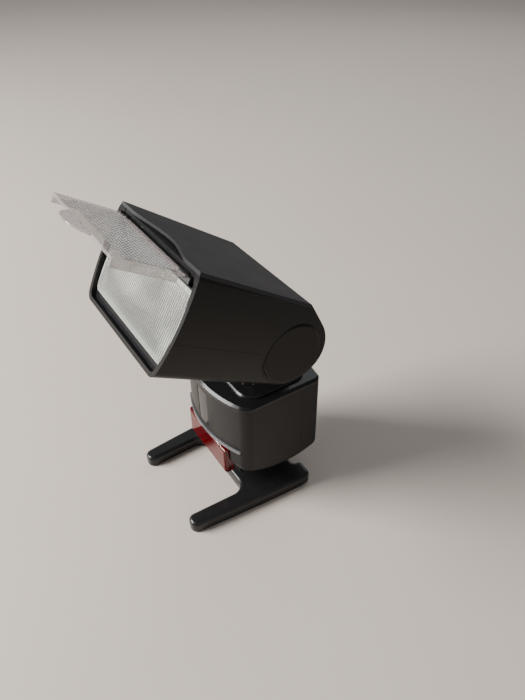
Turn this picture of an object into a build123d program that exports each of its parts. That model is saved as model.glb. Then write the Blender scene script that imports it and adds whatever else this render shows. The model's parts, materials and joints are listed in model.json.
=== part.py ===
from build123d import *
import os
from math import acos, atan2, cos, radians, sin

os.makedirs("parts", exist_ok=True)

# Compact speedlight flash on a slide-on mini stand.  Millimetres, +Z up.
# The origin is the axis of the stand's tripod socket, on the stand's underside.
# The flash faces -Y.  The head is drawn level and then tilted up about its pivot.

# ---------------------------------------------------------------- driving sizes
wall = 2.0                 # moulded wall of the body and the head
seam = 0.10                # open seam between two covers of one body
gap = 0.35                 # free space between pieces that move past each other
running = 0.05             # radial clearance of a shaft in its bore

body_half = 30.5           # body, half the width
body_front_side = -16.8    # front edge where the side walls end
body_front_mid = -25.0     # front edge on the centre line
body_rear_side = 27.7      # rear edge where the side walls end
body_rear_mid = 30.5       # rear edge on the centre line
body_front_round = 7.0
body_rear_round = 4.5
body_low = 18.6            # lowest point of the rounded underside
body_low_y = 8.0
body_belly = 50.0          # radius of the underside, seen from the side
body_low_round = 4.0
shell_top = 68.0           # where the shells end and the deck begins
deck_top = 71.0
split_y = 16.5             # joint between the front and rear shells, on the right side
split_far_y = 21.4         # and on the left side, behind the battery door
split_step = 2.5           # the joint steps forward by this below split_step_z
split_step_z = 31.0

pivot_y = 5.4              # tilt axis of the head, parallel to X
pivot_z = 99.5
tilt = 31.0                # how far the head is tilted up at rest, degrees
head_front = 66.0          # from the tilt axis to the front rim
head_top_front = 27.6      # top of the head above the axis, at the rim
head_top_rear = 24.4       # and at the rear corner
head_rear_corner = 1.5     # rear corner of the top, in front of the axis
head_cheek = 19.5          # radius of the rounded rear
head_drop = 1.0            # how far the bottom falls towards the rim
rim_top_half = 36.0        # front rim, half widths at the top, belly and bottom
rim_belly_half = 39.2
rim_bottom_half = 35.6
rear_taper = 4.2           # the head is this much narrower each side at the rear
head_corner = 5.0          # rounding of the two bottom edges
cover_band = 3.1           # height of the sloping side band of the top cover
band_slope = 1.6           # how far that band leans out
cover_thick = 1.5
head_seam = -2.0           # height of the joint between upper and lower head shells

window_half = 34.0         # flash window, half widths at top, belly and bottom
window_belly = 35.6
window_bottom_half = 34.2
window_top = 18.6
window_low = -14.8
window_top_round = 1.2
window_low_round = 2.5
window_set_back = 2.1      # bezel face behind the rim
lens_thick = 2.0

panel_half = 31.5          # wide-angle panel, half the width
panel_length = 30.7
panel_thick = 1.5
panel_low = 22.4           # underside of the panel above the axis
panel_skirt = 2.7          # the side walls hang this far below the plate
panel_skirt_thick = 1.3
panel_axis = head_front + 1.8   # panel hinge in front of the tilt axis
panel_travel = 36.0

drum_half = 17.0           # hinge barrel of the neck, half the length
drum_radius = 19.0
neck_half = 10.0           # half the thickness of the neck
pin_radius = 4.0           # tilt pivot pins
turntable_radius = 18.0
turntable_low = 72.9
turntable_top = 76.2
swivel_tube = 8.0          # radius of the tube that turns in the deck
disc_radius = 15.3         # round covers over the pivots

stand_thick = 7.0
foot_half = 9.3            # shoe foot, half the width of the plate
foot_length = 18.0
foot_thick = 2.0
foot_neck_half = 6.1
foot_post = 7.0            # round post that the lock lever turns on
shoe_lip = 1.4             # thickness of the lips that hold the foot
lever_low = 11.3
lever_thick = 3.1
foot_block_low = 14.8

cell_radius = 7.15
cell_length = 50.5
cell_pitch = 14.6
cells_y = 5.0              # centre of the block of four cells
cells_z = 40.9
cells_x = 3.9 - body_half  # the cells' ends at the door

red_half = 19.6            # red window of the focus lamp
red_face = -24.5
red_low = 20.6
red_high = 37.3
red_depth = 5.2

mouth_front = head_front - 9.0   # front of the reflector at rest
mouth_half = 25.5
mouth_top = 14.5
mouth_low = -13.5
reflector_depth = 20.0
rod_radius = 1.0
rod_x = 28.5
rod_z = 8.0
screw_radius = 1.2

# ---------------------------------------------------------------- placing planes
s_tilt = sin(radians(tilt))
c_tilt = cos(radians(tilt))
pivot = (0, pivot_y, pivot_z)
head = Plane(origin=pivot, x_dir=(1, 0, 0), z_dir=(0, s_tilt, c_tilt))


def head_across(forward):
    """Plane square to the head's length; sketch in (x, height above the axis)."""
    centre = head.from_local_coords((0, -forward, 0))
    return Plane(origin=centre, x_dir=(1, 0, 0), z_dir=(0, -c_tilt, s_tilt))


def head_along(x):
    """Plane along the head; sketch in (distance forward of the axis, height)."""
    return Plane(origin=(x, pivot_y, pivot_z), x_dir=(0, -c_tilt, s_tilt), z_dir=(-1, 0, 0))


standing = (Align.CENTER, Align.CENTER, Align.MIN)   # centred, with its base on the given level


def level(z):
    return Plane.XY.offset(z)


# ---------------------------------------------------------------- shared forms
def body_form(inset):
    """The body as one block, drawn in by inset from its outer surface."""
    with BuildPart() as form:
        with BuildSketch(Plane.XY):
            with BuildLine():
                front = ThreePointArc(
                    (-body_half, body_front_side), (0, body_front_mid), (body_half, body_front_side)
                )
                right = Line(front @ 1, (body_half, body_rear_side))
                rear = ThreePointArc(right @ 1, (0, body_rear_mid), (-body_half, body_rear_side))
                Line(rear @ 1, front @ 0)
            make_face()
            ends = vertices().sort_by(Axis.Y)
            fillet(ends[:2], body_front_round)
            fillet(vertices().sort_by(Axis.Y)[-2:], body_rear_round)
            if inset:
                offset(amount=-inset, mode=Mode.REPLACE)
        extrude(amount=deck_top)
        half_span = 40.0
        rise = body_belly - (body_belly**2 - half_span**2) ** 0.5
        low = body_low + inset
        with BuildSketch(Plane.YZ):
            with BuildLine():
                belly = ThreePointArc(
                    (body_low_y - half_span, low + rise),
                    (body_low_y, low),
                    (body_low_y + half_span, low + rise),
                )
                Polyline(
                    belly @ 1,
                    (body_low_y + half_span, deck_top),
                    (body_low_y - half_span, deck_top),
                    belly @ 0,
                )
            make_face()
        extrude(amount=body_half * 2, both=True, mode=Mode.INTERSECT)
        fillet(form.faces().sort_by(Axis.Z)[0].edges(), max(body_low_round - inset, 1.0))
    return form.part


def body_skin(outer, inner, low, high):
    """A piece of the body's skin between two insets, inside the box low..high."""
    with BuildPart(mode=Mode.PRIVATE) as skin:
        add(body_form(outer))
        add(body_form(inner), mode=Mode.SUBTRACT)
        size = [b - a for a, b in zip(low, high)]
        with Locations([((low[0] + high[0]) / 2, (low[1] + high[1]) / 2, (low[2] + high[2]) / 2)]):
            Box(*size, mode=Mode.INTERSECT)
    return skin.part



def head_outline(forward, top_half, belly_half, bottom_half, top, bottom, corner):
    """Barrel-sided outline of the head at a distance forward, seen from the front."""
    band = cover_band + 1.0
    belly = (top + bottom) / 2 + 2
    with BuildSketch(head_across(forward)) as outline:
        with BuildLine():
            crown = ThreePointArc((-top_half, top), (0, top + 0.5), (top_half, top))
            band_line = Line(crown @ 1, (top_half + band_slope, top - band))
            side = ThreePointArc(band_line @ 1, (belly_half, belly), (bottom_half, bottom))
            floor = Line(side @ 1, (-bottom_half, bottom))
            side_left = ThreePointArc(
                floor @ 1, (-belly_half, belly), (-top_half - band_slope, top - band)
            )
            Line(side_left @ 1, crown @ 0)
        make_face()
        fillet([v for v in vertices() if v.Y < 0], corner)
    return outline.sketch


head_bottom_rim = -head_cheek - head_drop


def top_height(forward):
    """Height of the head's sloping top over the axis."""
    slope = (head_top_front - head_top_rear) / (head_front - head_rear_corner)
    return head_top_rear + slope * (forward - head_rear_corner)


def head_form(inset, front, top_inset=None):
    """The head as one block, drawn in by inset, from its rounded rear to front."""
    down = inset if top_inset is None else top_inset
    reach = head_front + head_cheek
    sections = []
    for forward, share in ((front, (head_front - front) / reach), (-head_cheek - 1, 1 + 1 / reach)):
        sections.append(
            head_outline(
                forward,
                rim_top_half - rear_taper * share - inset,
                rim_belly_half - rear_taper * share - inset,
                rim_bottom_half - rear_taper * share - inset,
                head_top_front + 1.0 * (1 - share) - 0.4 * share - down,
                head_bottom_rim + inset,
                max(head_corner - inset, 1.0),
            )
        )
    with BuildPart(mode=Mode.PRIVATE) as form:
        loft(sections)
        radius = head_cheek - inset
        corner = (head_rear_corner, top_height(head_rear_corner) - down)
        reach_corner = (corner[0] ** 2 + corner[1] ** 2) ** 0.5
        touch = atan2(corner[1], corner[0]) + acos(radius / reach_corner)
        touch_point = (radius * cos(touch), radius * sin(touch))
        with BuildSketch(head_along(0)):
            with BuildLine():
                top_line = Line((front + 5, top_height(front + 5) - down), corner)
                back_line = Line(top_line @ 1, touch_point)
                cheek = ThreePointArc(back_line @ 1, (-radius * cos(0.3), -radius * sin(0.3)), (0, -radius))
                floor = Line(cheek @ 1, (front + 5, -radius - head_drop))
                Line(floor @ 1, top_line @ 0)
            make_face()
        extrude(amount=rim_belly_half + 5, both=True, mode=Mode.INTERSECT)
    return form.part


def below_cover(space):
    """Everything under the top cover's lower face, lowered by space."""
    drop = cover_thick + space
    with BuildPart(mode=Mode.PRIVATE) as block:
        with BuildSketch(head_along(0)):
            with BuildLine():
                Polyline(
                    (-40, top_height(-40) - drop),
                    (head_front + 10, top_height(head_front + 10) - drop),
                    (head_front + 10, -60),
                    (-40, -60),
                    close=True,
                )
            make_face()
        extrude(amount=rim_belly_half + 10, both=True)
    return block.part


def head_box(x0, x1, forward0, forward1, z0, z1):
    """A box in the head's own directions."""
    with BuildPart(head, mode=Mode.PRIVATE) as box:
        with Locations(((x0 + x1) / 2, -(forward0 + forward1) / 2, (z0 + z1) / 2)):
            Box(x1 - x0, forward1 - forward0, z1 - z0)
    return box.part


def head_bar(x, z, radius, forward0, forward1):
    """A round bar along the head's length."""
    with BuildPart(mode=Mode.PRIVATE) as bar:
        with BuildSketch(head_across(forward0)):
            with Locations((x, z)):
                Circle(radius)
        extrude(amount=forward1 - forward0)
    return bar.part


def cross_bar(radius, x0, x1, forward=0.0, z=0.0):
    """A round bar parallel to X in the head's directions."""
    with BuildPart(mode=Mode.PRIVATE) as bar:
        with BuildSketch(head_along(x0)):
            with Locations((forward, z)):
                Circle(radius)
        extrude(amount=-(x1 - x0))
    return bar.part


# ================================================================ mini stand
leg_inner = 23.6
leg_tip_y = -50.8
leg_waist = 33.7
leg_hip = 35.6
leg_hip_y = 14.5
leg_tip_in = 22.5
leg_tip_out = 30.6
leg_rear_y = 21.0
web_front = -16.0
web_rear = 16.5
shoe_half = 12.3
shoe_front = -11.6
shoe_rear = 9.7
shoe_floor = stand_thick
foot_low = shoe_floor + 0.1
foot_top = foot_low + foot_thick
lip_low = foot_top + 0.1
lip_top = lip_low + shoe_lip
groove_depth = 0.8
groove_width = 11.0
channel_front = -foot_length / 2 - 0.3
channel_length = shoe_rear - channel_front
socket_wall = 1.3          # wall of the threaded insert
lock_pin_y = -5.6
lock_hole = 1.35           # radius of the stand's hole that the lock pin drops into
lock_hole_deep = 1.6
socket_radius = 2.55
socket_depth = 5.6

with BuildPart() as mini_stand:
    with BuildSketch(Plane.XY):
        for side in (1, -1):
            with BuildLine():
                Polyline(
                    (0, web_front),
                    (side * leg_inner, web_front),
                    (side * leg_tip_in, leg_tip_y),
                    (side * leg_tip_out, leg_tip_y),
                )
                outer_edge = ThreePointArc(
                    (side * leg_tip_out, leg_tip_y),
                    (side * leg_waist, web_front),
                    (side * leg_hip, leg_hip_y),
                )
                Polyline(
                    outer_edge @ 1,
                    (side * (leg_hip - 1.0), leg_rear_y),
                    (side * (leg_inner + 0.8), leg_rear_y),
                    (side * leg_inner, web_rear),
                    (0, web_rear),
                    (0, web_front),
                )
            make_face()
        fillet([v for v in vertices() if abs(v.Y - web_front) < 0.1 and abs(v.X) > 5], 6.5)
        fillet([v for v in vertices() if v.Y < leg_tip_y + 0.1], 3.7)
        fillet([v for v in vertices() if v.Y > leg_rear_y - 0.5 and abs(v.X) > leg_hip - 5], 3.6)
        fillet([v for v in vertices() if v.Y > leg_rear_y - 0.5 and abs(v.X) < leg_hip - 5], 2.0)
        fillet([v for v in vertices() if abs(v.Y - web_rear) < 0.1 and 5 < abs(v.X) < leg_hip - 5], 2.2)
    extrude(amount=stand_thick)
    fillet(mini_stand.faces().sort_by(Axis.Z)[-1].edges(), 2.0)
    fillet(mini_stand.faces().sort_by(Axis.Z)[0].edges(), 0.9)
    with Locations((0, (shoe_front + shoe_rear) / 2, shoe_floor)):
        Box(2 * shoe_half, shoe_rear - shoe_front, lip_top - shoe_floor, align=standing)
    chamfer(mini_stand.faces().sort_by(Axis.Z)[-1].edges(), 0.5)
    with Locations((0, channel_front, shoe_floor)):
        Box(
            2 * (foot_half + 0.12),
            channel_length,
            lip_low - shoe_floor,
            align=(Align.CENTER, Align.MIN, Align.MIN),
            mode=Mode.SUBTRACT,
        )
        Box(
            2 * (foot_neck_half + 0.2),
            channel_length,
            lip_top - shoe_floor,
            align=(Align.CENTER, Align.MIN, Align.MIN),
            mode=Mode.SUBTRACT,
        )
    with Locations((0, channel_front, shoe_floor - groove_depth)):
        Box(
            groove_width,
            channel_length + 20,
            groove_depth,
            align=(Align.CENTER, Align.MIN, Align.MIN),
            mode=Mode.SUBTRACT,
        )
    with Locations((0, lock_pin_y, shoe_floor - groove_depth)):
        Cylinder(
            lock_hole,
            lock_hole_deep,
            align=(Align.CENTER, Align.CENTER, Align.MAX),
            mode=Mode.SUBTRACT,
        )
    Cylinder(
        socket_radius + socket_wall,
        socket_depth,
        align=standing,
        mode=Mode.SUBTRACT,
    )
mini_stand.part.label = "mini_stand"
export_step(mini_stand.part, "parts/mini_stand.step")

with BuildPart() as stand_thread_insert:
    Cylinder(socket_radius + socket_wall - 0.02, socket_depth - 0.05, align=standing)
    Cylinder(socket_radius, socket_depth, align=standing, mode=Mode.SUBTRACT)
stand_thread_insert.part.label = "stand_thread_insert"
export_step(stand_thread_insert.part, "parts/stand_thread_insert.step")

# ================================================================ shoe foot and lock
foot_neck_top = lever_low - 0.3
pin_hole = 1.16
pin_bore_top = 16.8
contact_spots = [(0, 0), (-3.4, 3.4), (3.4, 3.4), (0, 5.6)]
contact_radius = 0.8
contact_top = 12.0
shoe_screw_spots = [(x, y) for x in (-10.3, 10.3) for y in (-7.5, 9.5)]
screw_head = 1.9
screw_sink = 1.6

with BuildPart() as shoe_foot:
    with Locations((0, 0, foot_low)):
        Box(2 * foot_half, foot_length, foot_thick, align=standing)
    fillet(shoe_foot.edges().filter_by(Axis.Z), 1.2)
    with Locations((0, 0, foot_top)):
        Box(2 * foot_neck_half, foot_length, foot_neck_top - foot_top, align=standing)
    with Locations((0, 0, foot_neck_top)):
        Cylinder(foot_post, foot_block_low - foot_neck_top, align=standing)
    with Locations((0, lock_pin_y, 0)):
        Cylinder(pin_hole, 20, align=standing, mode=Mode.SUBTRACT)
    with Locations([(x, y, 0) for x, y in contact_spots]):
        Cylinder(contact_radius + running, contact_top + 0.6, align=standing, mode=Mode.SUBTRACT)
shoe_foot.part.label = "shoe_foot"
export_step(shoe_foot.part, "parts/shoe_foot.step")

with BuildPart() as contact_pins:
    with Locations([(x, y, foot_low - 0.35) for x, y in contact_spots]):
        Cylinder(contact_radius, contact_top - foot_low, align=standing)
contact_pins.part.label = "contact_pins"
export_step(contact_pins.part, "parts/contact_pins.step")

with BuildPart() as shoe_block:
    with BuildSketch(level(foot_block_low)):
        with Locations((0, 1.0)):
            RectangleRounded(27, 26, 4)
    extrude(amount=10)
    add(body_form(-0.05), mode=Mode.SUBTRACT)
    with Locations((0, lock_pin_y, 0)):
        Cylinder(pin_hole, pin_bore_top, align=standing, mode=Mode.SUBTRACT)
    with Locations([(x, y, foot_block_low) for x, y in shoe_screw_spots]):
        Cylinder(screw_head + 0.1, screw_sink, align=standing, mode=Mode.SUBTRACT)
        Cylinder(1.05, 12, align=standing, mode=Mode.SUBTRACT)
shoe_block.part.label = "shoe_block"
export_step(shoe_block.part, "parts/shoe_block.step")

with BuildPart() as shoe_screws:
    with Locations([(x, y, foot_block_low + 0.3) for x, y in shoe_screw_spots]):
        Cylinder(screw_head, screw_sink - 0.35, align=standing)
        Cylinder(1.0, 9.0, align=standing)
shoe_screws.part.label = "shoe_screws"
export_step(shoe_screws.part, "parts/shoe_screws.step")

with BuildPart() as lock_lever:
    with BuildSketch(level(lever_low)):
        Circle(12.4)
        with BuildLine():
            Polyline((-5.5, 9.0), (-4.5, 24.0), (5.5, 24.0), (9.0, 6.0), (-5.5, 9.0))
        make_face()
        fillet([v for v in vertices() if v.Y > 20], 3.0)
        Circle(foot_post + running, mode=Mode.SUBTRACT)
    extrude(amount=lever_thick)
    chamfer(lock_lever.faces().sort_by(Axis.Z)[-1].edges(), 0.4)
lock_lever.part.label = "lock_lever"
export_step(lock_lever.part, "parts/lock_lever.step")

with BuildPart() as lock_pin:
    with Locations((0, lock_pin_y, foot_low + 0.2)):
        Cylinder(pin_hole - running, pin_bore_top - foot_low - 1.0, align=standing)
lock_pin.part.label = "lock_pin"
export_step(lock_pin.part, "parts/lock_pin.step")

# ================================================================ body shells
front_opening_half = red_half + 0.7
front_opening_top = red_high + 1.2
housing_back = -14.0
sensor_half = 4.6
sensor_low = 43.0
sensor_high = 66.0
skin_depth = 1.2           # thickness of inlaid windows
lcd_half = 20.0
lcd_low = 50.0
lcd_high = 65.5
door_front = -9.6
door_rear = 19.6
door_low = 26.2
door_high = 56.4
door_axis_x = 1.0 - body_half   # hinge axis just inside the wall
door_axis_z = 27.2
door_pin = 0.6
trim_low = 38.9
trim_high = 40.6
button_row = [(-18.0, 43.0), (-6.0, 43.0), (6.0, 43.0), (18.0, 43.0)]
button_radius = 3.4
test_spot = (-15.0, 32.5)
test_radius = 4.2
switch_spot = (11.0, 32.5)
switch_half = 4.0
switch_travel = 5.0


def box_between(low, high):
    """A plain box between two corners."""
    with BuildPart(mode=Mode.PRIVATE) as box:
        with Locations(((low[0] + high[0]) / 2, (low[1] + high[1]) / 2, (low[2] + high[2]) / 2)):
            Box(high[0] - low[0], high[1] - low[1], high[2] - low[2])
    return box.part


def rear_region(space):
    """The part of the body behind the shell joint, with its step at the bottom."""
    with BuildPart(mode=Mode.PRIVATE) as region:
        with BuildSketch(Plane.YZ):
            with BuildLine():
                Polyline(
                    (split_y + space, 90),
                    (split_y + space, split_step_z),
                    (split_y - split_step + space, split_step_z - 2),
                    (split_y - split_step + space, 0),
                    (60, 0),
                    (60, 90),
                    close=True,
                )
            make_face()
        extrude(amount=60)
        with BuildSketch(Plane.YZ):
            with Locations((split_far_y + space, 0)):
                Rectangle(60, 90, align=(Align.MIN, Align.MIN))
        extrude(amount=-60)
    return region.part


def door_pin_bar(radius, reach):
    """Bar on the battery door's hinge axis, reaching past both ends of the door."""
    with BuildPart(mode=Mode.PRIVATE) as bar:
        with BuildSketch(Plane.XZ.offset(-(door_front - reach))):
            with Locations((door_axis_x, door_axis_z)):
                Circle(radius)
        extrude(amount=-(door_rear - door_front + 2 * reach))
    return bar.part


def screw_holes(radius):
    """Upright holes for the four screws through the shoe block."""
    with BuildPart(mode=Mode.PRIVATE) as holes:
        with Locations([(x, y, foot_block_low - 1) for x, y in shoe_screw_spots]):
            Cylinder(radius, 11, align=standing)
    return holes.part


body_shell = body_skin(0, wall, (-body_half - 10, -40, 0), (body_half + 10, 40, shell_top - seam))
red_opening = box_between(
    (-front_opening_half, -40, 0), (front_opening_half, housing_back + 0.3, front_opening_top)
)

with BuildPart() as body_front_shell:
    add(body_shell)
    add(rear_region(-seam), mode=Mode.SUBTRACT)
    add(red_opening, mode=Mode.SUBTRACT)
    add(box_between((-sensor_half, -40, sensor_low), (sensor_half, 0, sensor_high)), mode=Mode.SUBTRACT)
    add(
        box_between(
            (-body_half - 10, door_front - 0.3, door_low - 0.6),
            (10 - body_half, door_rear + 0.3, door_high + 0.3),
        ),
        mode=Mode.SUBTRACT,
    )
    add(door_pin_bar(door_pin + running, 1.5), mode=Mode.SUBTRACT)
    add(screw_holes(1.05), mode=Mode.SUBTRACT)
body_front_shell.part.label = "body_front_shell"
export_step(body_front_shell.part, "parts/body_front_shell.step")

with BuildPart() as body_rear_shell:
    add(body_shell)
    add(rear_region(0), mode=Mode.INTERSECT)
    add(box_between((-lcd_half, 0, lcd_low), (lcd_half, 40, lcd_high)), mode=Mode.SUBTRACT)
    with BuildSketch(Plane.XZ.offset(-15)):
        with Locations(button_row):
            Circle(button_radius + gap)
        with Locations(test_spot):
            Circle(test_radius + gap)
        with Locations((switch_spot[0] + switch_travel / 2, switch_spot[1])):
            SlotCenterToCenter(switch_travel + 0.8, 2 * (2.0 + gap))
    extrude(amount=-30, mode=Mode.SUBTRACT)
body_rear_shell.part.label = "body_rear_shell"
export_step(body_rear_shell.part, "parts/body_rear_shell.step")

# ================================================================ body covers and trim
with BuildPart() as sensor_window:
    add(
        body_skin(
            0.15,
            0.15 + skin_depth,
            (-sensor_half + seam, -40, sensor_low + seam),
            (sensor_half - seam, 0, sensor_high - seam),
        )
    )
sensor_window.part.label = "sensor_window"
export_step(sensor_window.part, "parts/sensor_window.step")

with BuildPart() as front_trim:
    add(body_skin(-0.9, -0.05, (-27.0, -40, trim_low), (27.0, -17.5, trim_high)))
front_trim.part.label = "front_trim"
export_step(front_trim.part, "parts/front_trim.step")

with BuildPart() as lcd_window:
    add(
        body_skin(
            0.1,
            0.1 + skin_depth,
            (-lcd_half + seam, 0, lcd_low + seam),
            (lcd_half - seam, 40, lcd_high - seam),
        )
    )
lcd_window.part.label = "lcd_window"
export_step(lcd_window.part, "parts/lcd_window.step")

with BuildPart() as battery_door:
    add(
        body_skin(
            0, wall - 0.4, (-body_half - 10, door_front, door_low), (5 - body_half, door_rear, door_high)
        )
    )
    with Locations((-body_half + 0.4, (door_front + door_rear) / 2, door_high - 6)):
        Box(1.6, 10, 2.4)
    add(door_pin_bar(door_pin, 1.2))
battery_door.part.label = "battery_door"
export_step(battery_door.part, "parts/battery_door.step")

# ================================================================ focus lamp
with BuildPart() as red_window:
    with BuildSketch(level(red_low)):
        with Locations((0, red_face + red_depth / 2)):
            Rectangle(2 * red_half, red_depth)
    extrude(amount=red_high - red_low)
    front_edges = red_window.faces().sort_by(Axis.Y)[0].edges()
    fillet(front_edges, 1.6)
    with Locations((0, red_face + 1.8, (red_low + red_high) / 2)):
        Box(
            2 * red_half - 3.0,
            red_depth,
            red_high - red_low - 3.0,
            align=(Align.CENTER, Align.MIN, Align.CENTER),
            mode=Mode.SUBTRACT,
        )
red_window.part.label = "red_window"
export_step(red_window.part, "parts/red_window.step")

lamp_spot = (8.0, 29.0)
lamp_radius = 4.2
lamp_front = red_face + 2.6

with BuildPart() as lamp_housing:
    add(
        box_between(
            (-red_half, red_face + red_depth + 0.05, red_low), (red_half, housing_back, red_high)
        )
    )
    add(body_form(0.3), mode=Mode.INTERSECT)
    with BuildSketch(Plane.XZ.offset(-housing_back)):
        with Locations(lamp_spot):
            Circle(lamp_radius + 0.1)
    extrude(amount=30, mode=Mode.SUBTRACT)
lamp_housing.part.label = "lamp_housing"
export_step(lamp_housing.part, "parts/lamp_housing.step")

with BuildPart() as focus_lamp:
    with BuildSketch(Plane.XZ.offset(-housing_back)):
        with Locations(lamp_spot):
            Circle(lamp_radius)
    extrude(amount=housing_back - lamp_front - 1.5)
    fillet(focus_lamp.faces().sort_by(Axis.Y)[0].edges(), 1.5)
focus_lamp.part.label = "focus_lamp"
export_step(focus_lamp.part, "parts/focus_lamp.step")

# ================================================================ battery chamber
cell_rows = [
    (cells_y + i * cell_pitch / 2, cells_z + j * cell_pitch / 2) for i in (-1, 1) for j in (-1, 1)
]
tray_wall = 0.8
tray_half = cell_pitch / 2 + cell_radius + 0.1
tray_end = cells_x + cell_length + 2.4
tray_mouth = cells_x - 0.4

with BuildPart() as battery_tray:
    tray_middle = ((tray_mouth + tray_end) / 2, cells_y, cells_z)
    with Locations(tray_middle):
        Box(tray_end - tray_mouth, 2 * (tray_half + tray_wall), 2 * (tray_half + tray_wall))
    with Locations(((tray_mouth + tray_end) / 2 - tray_wall, cells_y, cells_z)):
        Box(tray_end - tray_mouth, 2 * tray_half, 2 * tray_half, mode=Mode.SUBTRACT)
battery_tray.part.label = "battery_tray"
export_step(battery_tray.part, "parts/battery_tray.step")

with BuildPart() as battery_cells:
    with BuildSketch(Plane.YZ.offset(cells_x)):
        with Locations(cell_rows):
            Circle(cell_radius)
    extrude(amount=cell_length - 1.0)
    with BuildSketch(Plane.YZ.offset(cells_x + cell_length - 1.0)):
        with Locations(cell_rows):
            Circle(2.7)
    extrude(amount=1.0)
battery_cells.part.label = "battery_cells"
export_step(battery_cells.part, "parts/battery_cells.step")

with BuildPart() as battery_contacts:
    for i in (-1, 1):
        with BuildSketch(Plane.YZ.offset(cells_x + cell_length + 0.05)):
            with Locations((cells_y + i * cell_pitch / 2, cells_z)):
                RectangleRounded(9, cell_pitch + 9, 2)
        extrude(amount=0.5)
battery_contacts.part.label = "battery_contacts"
export_step(battery_contacts.part, "parts/battery_contacts.step")

# ================================================================ electronics
board_front = cells_y + tray_half + tray_wall + 0.5
board_thick = 1.6
board_half = 26.0

with BuildPart() as main_board:
    with BuildSketch(Plane.XZ.offset(-board_front)):
        with Locations((0, 46.0)):
            RectangleRounded(2 * board_half, 40, 1.5)
    extrude(amount=-board_thick)
    with BuildSketch(Plane.XZ.offset(-board_front - board_thick)):
        with Locations((-10, 37), (8, 38)):
            Rectangle(9, 7)
    extrude(amount=-0.9)
main_board.part.label = "main_board"
export_step(main_board.part, "parts/main_board.step")

capacitor_radius = 5.4
capacitor_y = -14.0
capacitor_z = cells_z + tray_half + tray_wall + capacitor_radius - 0.2

with BuildPart() as main_capacitor:
    with BuildSketch(Plane.YZ.offset(-17)):
        with Locations((capacitor_y, capacitor_z)):
            Circle(capacitor_radius)
    extrude(amount=34)
    fillet(main_capacitor.edges().filter_by(GeomType.CIRCLE), 0.6)
main_capacitor.part.label = "main_capacitor"
export_step(main_capacitor.part, "parts/main_capacitor.step")

lcd_front = board_front + board_thick + 1.2
lcd_module_thick = 3.0
with BuildPart() as lcd_module:
    with Locations((0, lcd_front + lcd_module_thick / 2, (lcd_low + lcd_high) / 2)):
        Box(2 * lcd_half + 2, lcd_module_thick, lcd_high - lcd_low + 2)
    fillet(lcd_module.edges().filter_by(Axis.Y), 1.0)
lcd_module.part.label = "lcd_module"
export_step(lcd_module.part, "parts/lcd_module.step")

# ================================================================ rear controls
key_base = board_front + board_thick + 2.0
key_flange = 1.0
key_proud = 1.0


def rear_surface(x):
    """Y of the rear face at x."""
    return body_rear_mid - (body_rear_mid - body_rear_side) * (x / body_half) ** 2


def key(x, z, radius):
    """A round push key with a retaining flange behind the shell."""
    with BuildPart(mode=Mode.PRIVATE) as button:
        with BuildSketch(Plane.XZ.offset(-key_base)):
            with Locations((x, z)):
                Circle(radius + 0.9)
        extrude(amount=-key_flange)
        with BuildSketch(Plane.XZ.offset(-key_base)):
            with Locations((x, z)):
                Circle(radius)
        extrude(amount=-(rear_surface(x) + key_proud - key_base))
        fillet(button.faces().sort_by(Axis.Y)[-1].edges(), 0.6)
    return button.part


for name, (x, z) in zip(("mode_button", "zoom_button", "minus_button", "plus_button"), button_row):
    with BuildPart() as push_button:
        add(key(x, z, button_radius))
    push_button.part.label = name
    export_step(push_button.part, f"parts/{name}.step")

with BuildPart() as test_button:
    add(key(*test_spot, test_radius))
test_button.part.label = "test_button"
export_step(test_button.part, "parts/test_button.step")

with BuildPart() as power_switch:
    with BuildSketch(Plane.XZ.offset(-key_base)):
        with Locations(switch_spot):
            Rectangle(2 * switch_half + 3, 7.5)
    extrude(amount=-key_flange)
    with BuildSketch(Plane.XZ.offset(-key_base)):
        with Locations(switch_spot):
            Circle(2.0)
    extrude(amount=-(rear_surface(switch_spot[0]) + 0.3 - key_base))
    with BuildSketch(Plane.XZ.offset(-(rear_surface(switch_spot[0]) + 0.3))):
        with Locations(switch_spot):
            RectangleRounded(2 * switch_half, 5.2, 1.2)
    extrude(amount=-1.5)
    fillet(power_switch.faces().sort_by(Axis.Y)[-1].edges(), 0.5)
power_switch.part.label = "power_switch"
export_step(power_switch.part, "parts/power_switch.step")

# ================================================================ deck and swivel
plate_inset = 4.0
plate_top = 72.5
deck_bore = swivel_tube + running + 0.02

with BuildPart() as top_deck:
    add(body_form(0))
    add(box_between((-60, -60, 0), (60, 60, shell_top)), mode=Mode.SUBTRACT)
    chamfer(top_deck.faces().sort_by(Axis.Z)[-1].edges(), 1.2)
    with BuildSketch(level(deck_top)):
        with Locations((0, 4.5)):
            RectangleRounded(2 * (body_half - plate_inset), 38, 9)
    extrude(amount=plate_top - deck_top)
    chamfer(top_deck.faces().sort_by(Axis.Z)[-1].edges(), 0.8)
    with Locations((0, pivot_y, shell_top)):
        Cylinder(deck_bore, 30, mode=Mode.SUBTRACT)
top_deck.part.label = "top_deck"
export_step(top_deck.part, "parts/top_deck.step")

retainer_low = 65.4
retainer_thick = 2.2

with BuildPart() as turntable:
    with BuildSketch(level(turntable_low)):
        with Locations((0, pivot_y)):
            Circle(turntable_radius)
    extrude(amount=turntable_top - turntable_low)
    chamfer(turntable.edges().filter_by(GeomType.CIRCLE).sort_by(Axis.Z)[-1], 0.8)
    with BuildSketch(level(retainer_low - 0.4)):
        with Locations((0, pivot_y)):
            Circle(swivel_tube)
    extrude(amount=turntable_low - retainer_low + 0.4)
    with BuildSketch(level(retainer_low - 0.4)):
        with Locations((0, pivot_y)):
            Circle(swivel_tube - 2.2)
    extrude(amount=turntable_top - retainer_low + 0.4, mode=Mode.SUBTRACT)
turntable.part.label = "turntable"
export_step(turntable.part, "parts/turntable.step")

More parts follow.
